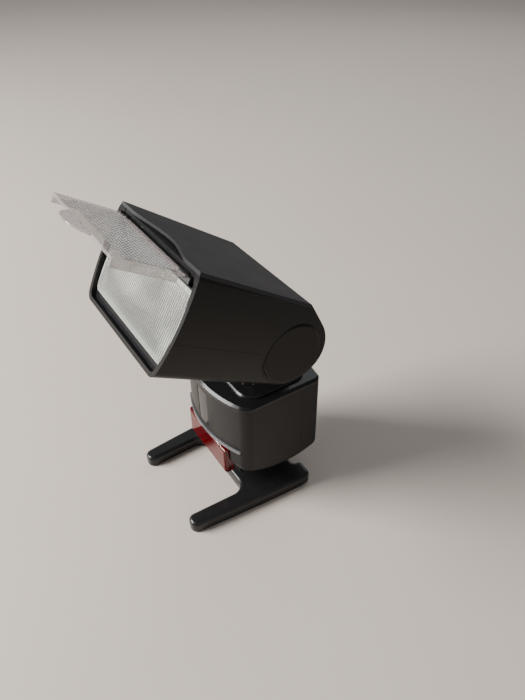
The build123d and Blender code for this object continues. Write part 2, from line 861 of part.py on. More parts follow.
with BuildPart() as swivel_retainer:
    with BuildSketch(level(retainer_low)):
        with Locations((0, pivot_y)):
            Circle(12.5)
            Circle(swivel_tube + 0.02, mode=Mode.SUBTRACT)
    extrude(amount=retainer_thick)
swivel_retainer.part.label = "swivel_retainer"
export_step(swivel_retainer.part, "parts/swivel_retainer.step")

with BuildPart() as neck_yoke:
    with BuildSketch(Plane.YZ):
        with Locations((pivot_y, pivot_z)):
            Circle(drum_radius)
    extrude(amount=drum_half, both=True)
    fillet(neck_yoke.edges().filter_by(GeomType.CIRCLE), 0.8)
    with Locations((0, pivot_y, turntable_top)):
        Box(2 * drum_half - 0.6, 2 * neck_half, pivot_z - turntable_top, align=standing)
    with BuildSketch(Plane.YZ):
        with Locations((pivot_y, pivot_z)):
            Circle(drum_radius - 2.5)
    extrude(amount=drum_half - 6, both=True, mode=Mode.SUBTRACT)
    with BuildSketch(Plane.YZ):
        with Locations((pivot_y, pivot_z)):
            Circle(pin_radius + running)
    extrude(amount=drum_half + 1, both=True, mode=Mode.SUBTRACT)
    with Locations((0, pivot_y, turntable_top)):
        Cylinder(
            swivel_tube - 2.2,
            pivot_z - turntable_top,
            align=standing,
            mode=Mode.SUBTRACT,
        )
neck_yoke.part.label = "neck_yoke"
export_step(neck_yoke.part, "parts/neck_yoke.step")

# ================================================================ head shells
slot_half = drum_half + 0.4
slot_radius = drum_radius + gap
slot_high = 19.0           # at the rear the neck slot is open below this height
cheek_thick = 2.0
disc_seat = disc_radius + 0.9
top_open_front = head_front - 10.0
carriage_length = 9.5
bay_rear = panel_axis - carriage_length - panel_travel - 0.5
release_radius = 9.0
panel_slot_half = panel_half + 0.35
notch_half = 28.0
notch_deep = 6.8

head_outer = head_form(0, head_front)
head_hollow = head_form(wall, head_front + 1.0, wall + cover_thick)


def shell_region(space):
    """What belongs to the upper shell: above the seam, and a round ear at the pivot."""
    with BuildPart(mode=Mode.PRIVATE) as region:
        with BuildSketch(head_along(0)):
            with Locations((0, 60 + head_seam + space)):
                Rectangle(400, 120)
            Circle(disc_seat - space)
        extrude(amount=60, both=True)
    return region.part


with BuildPart(mode=Mode.PRIVATE) as head_walls:
    add(head_outer)
    add(head_hollow, mode=Mode.SUBTRACT)
    for side in (-1, 1):
        x0, x1 = sorted((side * slot_half, side * (slot_half + cheek_thick)))
        add(cross_bar(head_cheek - 0.6, x0, x1))
    add(head_outer, mode=Mode.INTERSECT)
    add(cross_bar(slot_radius, -slot_half, slot_half), mode=Mode.SUBTRACT)
    add(
        head_box(-slot_half, slot_half, -head_cheek - 5, neck_half + 1.6, -head_cheek - 10, slot_high),
        mode=Mode.SUBTRACT,
    )
    for side in (-1, 1):
        x0, x1 = sorted((side * (slot_half - 1), side * 60))
        add(cross_bar(pin_radius + 0.02, x0, x1), mode=Mode.SUBTRACT)

head_screw_spots = [(x, forward) for x in (-22.0, 22.0) for forward in (24.0, 50.0)]
head_screw_floor = -head_cheek - head_drop


def head_post(x, forward, radius, z0, z1):
    """A round bar square to the head's length, upright in the head's directions."""
    with BuildPart(mode=Mode.PRIVATE) as post:
        with BuildSketch(head.offset(z0)):
            with Locations((x, -forward)):
                Circle(radius)
        extrude(amount=z1 - z0)
    return post.part


disc_plane_x = 34.0        # the shells are cut flat here to seat the round covers

with BuildPart() as head_upper_shell:
    add(head_walls.part)
    add(shell_region(0), mode=Mode.INTERSECT)
    add(below_cover(0.05), mode=Mode.INTERSECT)
    for side in (-1, 1):
        x0, x1 = sorted((side * disc_plane_x, side * 60))
        add(cross_bar(disc_radius + 0.1, x0, x1), mode=Mode.SUBTRACT)
    add(cross_bar(release_radius + gap, -60, -slot_half - cheek_thick - 1.0), mode=Mode.SUBTRACT)
    add(
        head_box(
            -panel_slot_half, panel_slot_half, bay_rear, head_front + 5, panel_low - panel_skirt - 0.3, 60
        ),
        mode=Mode.SUBTRACT,
    )
head_upper_shell.part.label = "head_upper_shell"
export_step(head_upper_shell.part, "parts/head_upper_shell.step")

with BuildPart() as head_lower_shell:
    add(head_walls.part)
    add(shell_region(-seam), mode=Mode.SUBTRACT)
    for x, forward in head_screw_spots:
        add(head_post(x, forward, 2.6, head_screw_floor + wall, head_screw_floor + 5.5))
        add(
            head_post(x, forward, screw_head + 0.1, head_screw_floor - 3, head_screw_floor + 1.9),
            mode=Mode.SUBTRACT,
        )
        add(head_post(x, forward, 1.05, head_screw_floor - 3, head_screw_floor + 8), mode=Mode.SUBTRACT)
head_lower_shell.part.label = "head_lower_shell"
export_step(head_lower_shell.part, "parts/head_lower_shell.step")

with BuildPart() as head_top_cover:
    add(head_outer)
    add(below_cover(0), mode=Mode.SUBTRACT)
    with BuildSketch(head.offset(head_top_front + 8)):
        with BuildLine():
            dip = Spline(
                [
                    (-notch_half, -head_front - 1),
                    (0, -head_front + notch_deep),
                    (notch_half, -head_front - 1),
                ],
                tangents=[(1, 0.25), (1, -0.25)],
            )
            Line(dip @ 1, dip @ 0)
        make_face()
    extrude(amount=-20, mode=Mode.SUBTRACT)
head_top_cover.part.label = "head_top_cover"
export_step(head_top_cover.part, "parts/head_top_cover.step")

with BuildPart() as top_bridge:
    add(head_form(wall + 0.05, head_front - 0.3, cover_thick + 0.1))
    bridge_half = panel_slot_half - 0.05
    bridge_low = panel_low + panel_thick + 0.4
    add(
        head_box(-bridge_half, bridge_half, top_open_front, head_front + 5, bridge_low, 60),
        mode=Mode.INTERSECT,
    )
top_bridge.part.label = "top_bridge"
export_step(top_bridge.part, "parts/top_bridge.step")

# ================================================================ flash window
bezel_face = head_front - window_set_back
bezel_depth = 3.4
lens_face = bezel_face + 0.2
bezel_top = panel_low - panel_skirt - 0.4


def window_outline(forward, extra):
    """Outline of the flash window, barrel sided with rounded corners."""
    belly_z = (window_top + window_low) / 2
    with BuildSketch(head_across(forward)) as outline:
        with BuildLine():
            top_edge = Line(
                (-window_half - extra, window_top + extra), (window_half + extra, window_top + extra)
            )
            right = ThreePointArc(
                top_edge @ 1,
                (window_belly + extra, belly_z),
                (window_bottom_half + extra, window_low - extra),
            )
            floor = Line(right @ 1, (-window_bottom_half - extra, window_low - extra))
            ThreePointArc(floor @ 1, (-window_belly - extra, belly_z), top_edge @ 0)
        make_face()
        fillet([v for v in vertices() if v.Y > 0], window_top_round)
        fillet([v for v in vertices() if v.Y < 0], window_low_round)
    return outline.sketch


with BuildPart() as fresnel_lens:
    extrude(window_outline(lens_face - lens_thick, 0), amount=lens_thick)
fresnel_lens.part.label = "fresnel_lens"
export_step(fresnel_lens.part, "parts/fresnel_lens.step")

with BuildPart() as lens_bezel:
    add(head_form(wall + 0.1, head_front + 1.0, wall + cover_thick + 0.1))
    add(
        head_box(-60, 60, bezel_face - bezel_depth, bezel_face, -60, bezel_top),
        mode=Mode.INTERSECT,
    )
    extrude(window_outline(lens_face - lens_thick - 0.05, 0.12), amount=10, mode=Mode.SUBTRACT)
    extrude(window_outline(bezel_face - 10, -1.6), amount=20, mode=Mode.SUBTRACT)
lens_bezel.part.label = "lens_bezel"
export_step(lens_bezel.part, "parts/lens_bezel.step")

# ================================================================ reflector and zoom
tube_forward = mouth_front - reflector_depth + 3.0
tube_z = (mouth_top + mouth_low) / 2
tube_radius = 2.1
back_half = 17.0
back_high = 4.5


def reflector_form(inset, extend):
    """Trough of the reflector as a block; the mouth is longer by extend."""
    rings = (
        (mouth_front + extend, mouth_half, mouth_top - mouth_low),
        (mouth_front - reflector_depth * 0.6, mouth_half - 3.5, (mouth_top - mouth_low) * 0.8),
        (mouth_front - reflector_depth + inset, back_half, 2 * back_high),
    )
    with BuildPart(mode=Mode.PRIVATE) as form:
        for forward, half, high in rings:
            with BuildSketch(head_across(forward)):
                with Locations((0, tube_z)):
                    RectangleRounded(2 * (half - inset), high - 2 * inset, 3.0)
        loft()
    return form.part


with BuildPart() as reflector:
    add(reflector_form(0, 0))
    add(reflector_form(0.8, 0.01), mode=Mode.SUBTRACT)
    add(cross_bar(tube_radius + 0.15, -40, 40, tube_forward, tube_z), mode=Mode.SUBTRACT)
reflector.part.label = "reflector"
export_step(reflector.part, "parts/reflector.step")

tube_half = 24.2
with BuildPart() as flash_tube:
    add(cross_bar(tube_radius, -tube_half, tube_half, tube_forward, tube_z))
flash_tube.part.label = "flash_tube"
export_step(flash_tube.part, "parts/flash_tube.step")

with BuildPart() as tube_sleeves:
    for side in (-1, 1):
        x0, x1 = sorted((side * (tube_half + 0.1), side * (tube_half - 2.6)))
        add(cross_bar(3.1, x0, x1, tube_forward, tube_z))
        add(cross_bar(tube_radius + 0.02, x0 - 1, x1 + 1, tube_forward, tube_z), mode=Mode.SUBTRACT)
tube_sleeves.part.label = "tube_sleeves"
export_step(tube_sleeves.part, "parts/tube_sleeves.step")

carriage_back = mouth_front - reflector_depth - 3.0
carriage_front = mouth_front - reflector_depth - 0.1

with BuildPart() as zoom_carriage:
    add(head_box(-14, 14, carriage_back, carriage_front, -8, 8))
    add(head_box(-rod_x, rod_x, carriage_back, carriage_front, -rod_z - 2.2, -rod_z + 2.2))
    add(head_box(-rod_x, 0, carriage_back, carriage_front, rod_z - 4.4, rod_z))
    for x, z in ((rod_x, -rod_z), (-rod_x, rod_z), (-rod_x, -rod_z)):
        add(head_bar(x, z, 2.6, carriage_back, carriage_front))
    for x, z, radius in (
        (rod_x, -rod_z, rod_radius),
        (-rod_x, rod_z, rod_radius),
        (-rod_x, -rod_z, screw_radius),
    ):
        add(head_bar(x, z, radius + running, carriage_back - 1, carriage_front + 1), mode=Mode.SUBTRACT)
zoom_carriage.part.label = "zoom_carriage"
export_step(zoom_carriage.part, "parts/zoom_carriage.step")

frame_back = head_cheek + 0.1
frame_thick = 1.2
frame_share = (head_front - frame_back) / (head_front + head_cheek)
frame_out = rim_bottom_half - rear_taper * frame_share - wall + 2.0
frame_front = mouth_front - 0.5
frame_high = rod_z + 2.2
motor_radius = rod_x - mouth_half - 0.2
motor_length = 8.0
motor_back = carriage_front + 1.1

with BuildPart() as zoom_frame:
    add(head_box(-frame_out, frame_out, frame_back, frame_back + frame_thick, -frame_high, frame_high))
    for side in (-1, 1):
        x0, x1 = sorted((side * (frame_out - frame_thick), side * frame_out))
        add(head_box(x0, x1, frame_back, frame_front, -frame_high, frame_high))
        x0, x1 = sorted((side * (rod_x - 1.8), side * frame_out))
        add(head_box(x0, x1, frame_front - frame_thick, frame_front, -frame_high, frame_high))
    for x, z, radius in ((rod_x, -rod_z, rod_radius + 0.01), (-rod_x, rod_z, rod_radius + 0.01)):
        add(head_bar(x, z, radius, 0, frame_front + 5), mode=Mode.SUBTRACT)
    add(head_bar(-rod_x, -rod_z, screw_radius + running, 0, motor_back), mode=Mode.SUBTRACT)
zoom_frame.part.label = "zoom_frame"
export_step(zoom_frame.part, "parts/zoom_frame.step")

with BuildPart() as zoom_rods:
    for x, z in ((rod_x, -rod_z), (-rod_x, rod_z)):
        add(head_bar(x, z, rod_radius, frame_back, frame_front))
zoom_rods.part.label = "zoom_rods"
export_step(zoom_rods.part, "parts/zoom_rods.step")

with BuildPart() as zoom_motor:
    add(head_bar(-rod_x, -rod_z, motor_radius, motor_back, motor_back + motor_length))
    fillet(zoom_motor.edges().filter_by(GeomType.CIRCLE), 0.4)
    screw_bore = head_bar(-rod_x, -rod_z, screw_radius + running, motor_back - 1, motor_back + 2.5)
    add(screw_bore, mode=Mode.SUBTRACT)
zoom_motor.part.label = "zoom_motor"
export_step(zoom_motor.part, "parts/zoom_motor.step")

with BuildPart() as lead_screw:
    add(head_bar(-rod_x, -rod_z, screw_radius, frame_back, motor_back + 2.2))
lead_screw.part.label = "lead_screw"
export_step(lead_screw.part, "parts/lead_screw.step")

with BuildPart() as trigger_coil:
    add(head_bar(26.5, 9.0, 3.2, frame_back + frame_thick + 1.0, frame_back + frame_thick + 11.0))
trigger_coil.part.label = "trigger_coil"
export_step(trigger_coil.part, "parts/trigger_coil.step")

# ================================================================ wide-angle panel
plate_mid = panel_low + panel_thick / 2
panel_tip = panel_axis + panel_length
carriage_low = panel_low + 0.2
carriage_high = panel_low + 1.1
hinge_radius = 0.55
ear_half = 4.0
ear_x = panel_half - 3.2
tab_half = 12.0
tab_reach = 7.5

with BuildPart() as panel_tray:
    tray_edge = panel_half - 2.2
    tray_high = panel_low - 0.5
    add(head_box(-tray_edge, tray_edge, bay_rear + 1.0, bezel_face, panel_low - 1.6, tray_high))
    add(head_box(-tray_edge, tray_edge, bezel_face - 1.6, bezel_face, bezel_top + 0.05, tray_high))
panel_tray.part.label = "panel_tray"
export_step(panel_tray.part, "parts/panel_tray.step")

with BuildPart() as wide_panel:
    add(head_box(-panel_half, panel_half, panel_axis - 0.9, panel_tip, panel_low, panel_low + panel_thick))
    with BuildSketch(head.offset(panel_low)):
        with BuildLine():
            tab = ThreePointArc(
                (-tab_half, -panel_tip), (0, -panel_tip - tab_reach), (tab_half, -panel_tip)
            )
            Line(tab @ 1, tab @ 0)
        make_face()
    extrude(amount=panel_thick)
    for side in (-1, 1):
        x0, x1 = sorted((side * (panel_half - panel_skirt_thick), side * panel_half))
        add(head_box(x0, x1, panel_axis + 2.6, panel_tip, panel_low - panel_skirt, panel_low + 0.01))
    for side in (-1, 1):
        x0, x1 = sorted((side * (ear_x - ear_half / 2 - 0.3), side * (ear_x + ear_half / 2 + 0.3)))
        add(
            head_box(x0, x1, panel_axis - 5, panel_axis + 1.3, panel_low - 5, panel_low + panel_thick + 5),
            mode=Mode.SUBTRACT,
        )
    add(
        cross_bar(hinge_radius + running, -60, 60, panel_axis, plate_mid),
        mode=Mode.SUBTRACT,
    )
wide_panel.part.label = "wide_panel"
export_step(wide_panel.part, "parts/wide_panel.step")

with BuildPart() as panel_carriage:
    add(
        head_box(
            -panel_half + 0.3,
            panel_half - 0.3,
            panel_axis - carriage_length,
            panel_axis - 1.4,
            carriage_low,
            carriage_high,
        )
    )
    for side in (-1, 1):
        x0, x1 = sorted((side * (ear_x - ear_half / 2), side * (ear_x + ear_half / 2)))
        ear_top = panel_low + panel_thick - 0.05
        add(head_box(x0, x1, panel_axis - 2.4, panel_axis, panel_low + 0.05, ear_top))
        add(cross_bar(panel_thick / 2 - 0.05, x0, x1, panel_axis, plate_mid))
    add(cross_bar(hinge_radius + 0.02, -60, 60, panel_axis, plate_mid), mode=Mode.SUBTRACT)
panel_carriage.part.label = "panel_carriage"
export_step(panel_carriage.part, "parts/panel_carriage.step")

with BuildPart() as panel_pins:
    for side in (-1, 1):
        x0, x1 = sorted((side * (ear_x - ear_half / 2 - 1.8), side * (ear_x + ear_half / 2 + 1.0)))
        add(cross_bar(hinge_radius, x0, x1, panel_axis, plate_mid))
panel_pins.part.label = "panel_pins"
export_step(panel_pins.part, "parts/panel_pins.step")

# ================================================================ pivots and covers
pin_inner = 8.0
pin_flange = slot_half + cheek_thick + 0.05
cover_face = 36.5
button_face = 37.2
release_travel = 1.5

with BuildPart() as pivot_pins:
    for side in (-1, 1):
        x0, x1 = sorted((side * pin_inner, side * pin_flange))
        add(cross_bar(pin_radius, x0, x1))
        x0, x1 = sorted((side * pin_flange, side * (pin_flange + 1.8)))
        add(cross_bar(pin_radius + 2.5, x0, x1))
    add(cross_bar(pin_radius - 1.5, -40, 40), mode=Mode.SUBTRACT)
pivot_pins.part.label = "pivot_pins"
export_step(pivot_pins.part, "parts/pivot_pins.step")

with BuildPart() as pivot_cover:
    add(cross_bar(disc_radius, disc_plane_x + 0.05, cover_face))
    fillet(pivot_cover.faces().sort_by(Axis.X)[-1].edges(), 1.0)
pivot_cover.part.label = "pivot_cover"
export_step(pivot_cover.part, "parts/pivot_cover.step")

with BuildPart() as release_ring:
    add(cross_bar(disc_radius, -cover_face, -disc_plane_x - 0.05))
    fillet(release_ring.faces().sort_by(Axis.X)[0].edges(), 1.0)
    add(cross_bar(release_radius + gap, -60, 0), mode=Mode.SUBTRACT)
release_ring.part.label = "release_ring"
export_step(release_ring.part, "parts/release_ring.step")

with BuildPart() as release_button:
    add(cross_bar(release_radius, -button_face, -disc_plane_x + 2.0))
    fillet(release_button.faces().sort_by(Axis.X)[0].edges(), 0.8)
    add(cross_bar(release_radius - 1.6, -button_face + 1.8, 0), mode=Mode.SUBTRACT)
release_button.part.label = "release_button"
export_step(release_button.part, "parts/release_button.step")

spring_radius = 5.0
spring_wire = 0.45
spring_start = pin_flange + 1.8 + spring_wire + 0.1
spring_end = button_face - 1.8 - release_travel - spring_wire - 0.2
spring_turns = 5
with BuildPart() as release_spring:
    with BuildLine():
        coil = Helix(
            (spring_end - spring_start) / spring_turns,
            spring_end - spring_start,
            spring_radius,
            center=(-spring_start, pivot_y, pivot_z),
            direction=(-1, 0, 0),
        )
    with BuildSketch(Plane(origin=coil @ 0, z_dir=coil % 0)):
        Circle(spring_wire)
    sweep(path=coil)
release_spring.part.label = "release_spring"
export_step(release_spring.part, "parts/release_spring.step")

# ================================================================ head screws
with BuildPart() as head_screws:
    for x, forward in head_screw_spots:
        add(head_post(x, forward, screw_head, head_screw_floor + 0.9, head_screw_floor + 1.8))
        add(head_post(x, forward, 1.0, head_screw_floor + 0.9, head_screw_floor + 7.0))
head_screws.part.label = "head_screws"
export_step(head_screws.part, "parts/head_screws.step")
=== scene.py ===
import json
import math

import bmesh
import bpy
from mathutils import Matrix, Vector


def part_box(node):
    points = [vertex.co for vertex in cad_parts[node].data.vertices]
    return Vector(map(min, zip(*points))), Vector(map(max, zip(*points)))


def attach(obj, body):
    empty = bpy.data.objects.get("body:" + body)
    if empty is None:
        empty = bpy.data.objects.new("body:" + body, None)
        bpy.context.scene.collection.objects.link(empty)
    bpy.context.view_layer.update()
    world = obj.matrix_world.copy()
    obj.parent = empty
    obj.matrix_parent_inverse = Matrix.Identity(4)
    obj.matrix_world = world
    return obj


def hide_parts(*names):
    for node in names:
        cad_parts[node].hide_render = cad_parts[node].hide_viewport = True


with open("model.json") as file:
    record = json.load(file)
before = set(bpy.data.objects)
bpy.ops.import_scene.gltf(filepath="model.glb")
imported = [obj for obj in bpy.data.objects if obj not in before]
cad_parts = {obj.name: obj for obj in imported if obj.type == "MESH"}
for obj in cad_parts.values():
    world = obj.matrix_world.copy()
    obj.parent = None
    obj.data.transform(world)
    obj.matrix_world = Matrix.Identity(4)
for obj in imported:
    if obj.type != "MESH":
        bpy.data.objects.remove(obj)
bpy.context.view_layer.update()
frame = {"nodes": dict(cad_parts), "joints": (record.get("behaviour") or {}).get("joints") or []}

# ---- Mini stand ------------------------------------------------------------------------
# The folded-out foot that the flash slides onto: one satin black nylon moulding with two
# long legs in front, two short ones behind and shoe rails on top.  A brass tripod insert is
# pressed into its underside.
STAND_BLACK = (0.0065, 0.0068, 0.0075, 1)
STAND_WORN = (0.055, 0.055, 0.058, 1)
BRASS = (0.78, 0.55, 0.22, 1)
DUST_COLOR = (0.6, 0.57, 0.53, 1)
PLASTIC_SHINE = 0.22
EDGE_SOFTNESS = 0.00022
METAL_EDGE_SOFTNESS = 0.00015


def add(tree, kind, inputs=None, **settings):
    """Add a node; its inputs are sockets to link or plain values."""
    node = tree.nodes.new(kind)
    for name, value in settings.items():
        setattr(node, name, value)
    for name, value in (inputs or {}).items():
        if isinstance(value, bpy.types.NodeSocket):
            tree.links.new(value, node.inputs[name])
        else:
            node.inputs[name].default_value = value
    return node


def new_tree(kind, name, inputs, outputs):
    """A node group with named sockets; returns it with its input and output nodes."""
    tree = bpy.data.node_groups.new(name, kind)
    for direction, sockets in (("INPUT", inputs), ("OUTPUT", outputs)):
        for socket, value in sockets.items():
            made = tree.interface.new_socket(name=socket, in_out=direction, socket_type=value[0])
            if len(value) > 1:
                made.default_value = value[1]
    return tree, tree.nodes.new("NodeGroupInput"), tree.nodes.new("NodeGroupOutput")


FLOAT, COLOR, VECTOR = "NodeSocketFloat", "NodeSocketColor", "NodeSocketVector"


def make_moulded_texture():
    """Spark-eroded mould texture: fine grain height and a slightly patchy roughness."""
    tree, given, result = new_tree(
        "ShaderNodeTree",
        "moulded_texture",
        {"Grain Size": (FLOAT, 0.0004), "Roughness": (FLOAT, 0.4), "Patchiness": (FLOAT, 0.1)},
        {"Height": (FLOAT,), "Roughness": (FLOAT,)},
    )
    place = add(tree, "ShaderNodeTexCoord").outputs["Object"]
    scale = add(tree, "ShaderNodeMath", {0: 1.0, 1: given.outputs["Grain Size"]}, operation="DIVIDE")
    grain = add(tree, "ShaderNodeTexNoise", {"Vector": place, "Scale": scale.outputs[0], "Detail": 3.0})
    pits = add(tree, "ShaderNodeTexVoronoi", {"Vector": place, "Scale": scale.outputs[0]})
    height = add(tree, "ShaderNodeMath", {0: grain.outputs[0], 1: pits.outputs[0]}, operation="ADD")
    patches = add(tree, "ShaderNodeTexNoise", {"Vector": place, "Scale": 70.0, "Detail": 4.0})
    swing = add(tree, "ShaderNodeMath", {0: patches.outputs[0], 1: 0.5}, operation="SUBTRACT")
    rough = add(
        tree,
        "ShaderNodeMath",
        {0: swing.outputs[0], 1: given.outputs["Patchiness"], 2: given.outputs["Roughness"]},
        operation="MULTIPLY_ADD",
    )
    tree.links.new(height.outputs[0], result.inputs["Height"])
    tree.links.new(rough.outputs[0], result.inputs["Roughness"])
    return tree


def make_worn_edges():
    """Colour that turns lighter in a broken line along outside edges."""
    tree, given, result = new_tree(
        "ShaderNodeTree",
        "worn_edges",
        {
            "Color": (COLOR, STAND_BLACK),
            "Worn Color": (COLOR, STAND_WORN),
            "Radius": (FLOAT, 0.0004),
            "Wear": (FLOAT, 0.6),
        },
        {"Color": (COLOR,)},
    )
    rounded = add(tree, "ShaderNodeBevel", {"Radius": given.outputs["Radius"]}, samples=4)
    face = add(tree, "ShaderNodeNewGeometry")
    match = add(
        tree,
        "ShaderNodeVectorMath",
        {0: rounded.outputs[0], 1: face.outputs["Normal"]},
        operation="DOT_PRODUCT",
    )
    edge = add(tree, "ShaderNodeMapRange", {"Value": match.outputs["Value"], 1: 0.985, 2: 0.86})
    place = add(tree, "ShaderNodeTexCoord").outputs["Object"]
    broken = add(tree, "ShaderNodeTexNoise", {"Vector": place, "Scale": 260.0, "Detail": 5.0})
    spots = add(tree, "ShaderNodeMapRange", {"Value": broken.outputs[0], 1: 0.38, 2: 0.66})
    both = add(tree, "ShaderNodeMath", {0: edge.outputs[0], 1: spots.outputs[0]}, operation="MULTIPLY")
    share = add(tree, "ShaderNodeMath", {0: both.outputs[0], 1: given.outputs["Wear"]}, operation="MULTIPLY")
    mix = add(
        tree,
        "ShaderNodeMixRGB",
        {0: share.outputs[0], 1: given.outputs["Color"], 2: given.outputs["Worn Color"]},
    )
    tree.links.new(mix.outputs[0], result.inputs["Color"])
    return tree


def make_dust_film():
    """Colour with a thin uneven film of dust on the faces that look up."""
    tree, given, result = new_tree(
        "ShaderNodeTree",
        "dust_film",
        {"Color": (COLOR, STAND_BLACK), "Dust": (FLOAT, 0.05)},
        {"Color": (COLOR,)},
    )
    coordinate = add(tree, "ShaderNodeTexCoord")
    facing = add(tree, "ShaderNodeSeparateXYZ", {0: coordinate.outputs["Normal"]})
    up = add(tree, "ShaderNodeMapRange", {"Value": facing.outputs["Z"], 1: -0.2, 2: 0.9})
    specks = add(
        tree, "ShaderNodeTexNoise", {"Vector": coordinate.outputs["Object"], "Scale": 900.0, "Detail": 6.0}
    )
    clouds = add(
        tree, "ShaderNodeTexNoise", {"Vector": coordinate.outputs["Object"], "Scale": 55.0, "Detail": 3.0}
    )
    cover = add(tree, "ShaderNodeMath", {0: specks.outputs[0], 1: clouds.outputs[0]}, operation="MULTIPLY")
    settled = add(tree, "ShaderNodeMath", {0: cover.outputs[0], 1: up.outputs[0]}, operation="MULTIPLY")
    share = add(
        tree, "ShaderNodeMath", {0: settled.outputs[0], 1: given.outputs["Dust"]}, operation="MULTIPLY"
    )
    mix = add(tree, "ShaderNodeMixRGB", {0: share.outputs[0], 1: given.outputs["Color"], 2: DUST_COLOR})
    tree.links.new(mix.outputs[0], result.inputs["Color"])
    return tree


moulded_texture = make_moulded_texture()
worn_edges = make_worn_edges()
dust_film = make_dust_film()


def new_material(name):
    """An empty node material and its Principled shader."""
    made = bpy.data.materials.new(name)
    made.use_nodes = True
    shader = made.node_tree.nodes["Principled BSDF"]
    return made, made.node_tree, shader


def moulded_plastic(
    name, color, worn, roughness, grain=0.00045, depth=0.00002, dust=0.12, coat=0.0, wear=0.5
):
    """Moulded plastic with texture grain, rubbed edges and a little dust."""
    made, tree, shader = new_material(name)
    texture = add(tree, "ShaderNodeGroup", node_tree=moulded_texture)
    texture.inputs["Grain Size"].default_value = grain
    texture.inputs["Roughness"].default_value = roughness
    texture.inputs["Patchiness"].default_value = 0.14
    edges = add(tree, "ShaderNodeGroup", node_tree=worn_edges)
    edges.inputs["Color"].default_value = color
    edges.inputs["Worn Color"].default_value = worn
    edges.inputs["Wear"].default_value = wear
    film = add(tree, "ShaderNodeGroup", node_tree=dust_film)
    film.inputs["Dust"].default_value = dust
    tree.links.new(edges.outputs["Color"], film.inputs["Color"])
    soft = add(tree, "ShaderNodeBevel", {"Radius": EDGE_SOFTNESS}, samples=4)
    bump = add(
        tree,
        "ShaderNodeBump",
        {"Height": texture.outputs["Height"], "Distance": depth, "Strength": 0.8, "Normal": soft.outputs[0]},
    )
    tree.links.new(film.outputs["Color"], shader.inputs["Base Color"])
    tree.links.new(texture.outputs["Roughness"], shader.inputs["Roughness"])
    tree.links.new(bump.outputs[0], shader.inputs["Normal"])
    shader.inputs["Specular IOR Level"].default_value = PLASTIC_SHINE
    shader.inputs["Coat Weight"].default_value = coat
    shader.inputs["Coat Roughness"].default_value = 0.06
    return made


def metal(name, color, roughness, streaks=(400.0, 400.0, 6000.0), depth=0.000006):
    """Metal with fine drawn or turned lines."""
    made, tree, shader = new_material(name)
    place = add(tree, "ShaderNodeTexCoord").outputs["Object"]
    stretched = add(tree, "ShaderNodeMapping", {"Vector": place, "Scale": streaks})
    lines = add(tree, "ShaderNodeTexNoise", {"Vector": stretched.outputs[0], "Scale": 1.0, "Detail": 4.0})
    rough = add(
        tree, "ShaderNodeMapRange", {"Value": lines.outputs[0], 3: roughness * 0.7, 4: roughness * 1.4}
    )
    darker = [c * 0.82 for c in color[:3]] + [1]
    tint = add(tree, "ShaderNodeMixRGB", {0: lines.outputs[0], 1: color, 2: darker})
    soft = add(tree, "ShaderNodeBevel", {"Radius": METAL_EDGE_SOFTNESS}, samples=4)
    bump = add(
        tree, "ShaderNodeBump", {"Height": lines.outputs[0], "Distance": depth, "Normal": soft.outputs[0]}
    )
    tree.links.new(tint.outputs[0], shader.inputs["Base Color"])
    tree.links.new(rough.outputs[0], shader.inputs["Roughness"])
    tree.links.new(bump.outputs[0], shader.inputs["Normal"])
    shader.inputs["Metallic"].default_value = 1.0
    return made


def dress(finish, *names):
    """Give CAD nodes a finish."""
    for name in names:
        piece = frame["nodes"][name]
        if not piece.material_slots:
            piece.data.materials.append(finish)
        for place in piece.material_slots:
            place.material = finish


stand_nylon = moulded_plastic("stand_nylon", STAND_BLACK, STAND_WORN, 0.34, dust=0.03, coat=0.3)
turned_brass = metal("turned_brass", BRASS, 0.28)
dress(stand_nylon, "mini_stand")
dress(turned_brass, "stand_thread_insert")

# ---- Shoe foot and its lock ------------------------------------------------------------
# A plated metal foot slides into the stand's rails.  Sprung gilt contacts stand through it,
# and a lever turns round its post to drop a steel pin that locks it.  Four small
# cross-head screws hold the foot's block to the body from below.
SCREW_STEPS = 40
SCREW_SECTOR_ARMS = 10
RECESS_CORE = 0.22
RECESS_REACH = 0.58
SHANK_SHARE = 0.52

satin_steel = metal("satin_steel", (0.60, 0.60, 0.62, 1), 0.32)
plated_steel = metal("plated_steel", (0.76, 0.76, 0.77, 1), 0.14)
gilt = metal("gilt", (0.90, 0.66, 0.28, 1), 0.2)
blackened_steel = metal("blackened_steel", (0.10, 0.10, 0.105, 1), 0.36)
body_plastic = moulded_plastic(
    "body_plastic", (0.012, 0.0115, 0.0115, 1), (0.06, 0.058, 0.056, 1), 0.40, dust=0.03
)
dress(plated_steel, "shoe_foot")
dress(gilt, "contact_pins")
dress(satin_steel, "lock_pin")
dress(body_plastic, "lock_lever", "shoe_block")


def mesh_piece(name, points, faces, corner=35.0):
    """A mesh object with merged points, outward faces and smooth shading up to a corner angle."""
    mesh = bpy.data.meshes.new(name)
    mesh.from_pydata([tuple(p) for p in points], [], faces)
    form = bmesh.new()
    form.from_mesh(mesh)
    bmesh.ops.remove_doubles(form, verts=form.verts, dist=1e-7)
    bmesh.ops.recalc_face_normals(form, faces=form.faces)
    form.to_mesh(mesh)
    form.free()
    mesh.shade_smooth()
    mesh.set_sharp_from_angle(angle=math.radians(corner))
    piece = bpy.data.objects.new(name, mesh)
    bpy.context.scene.collection.objects.link(piece)
    return piece


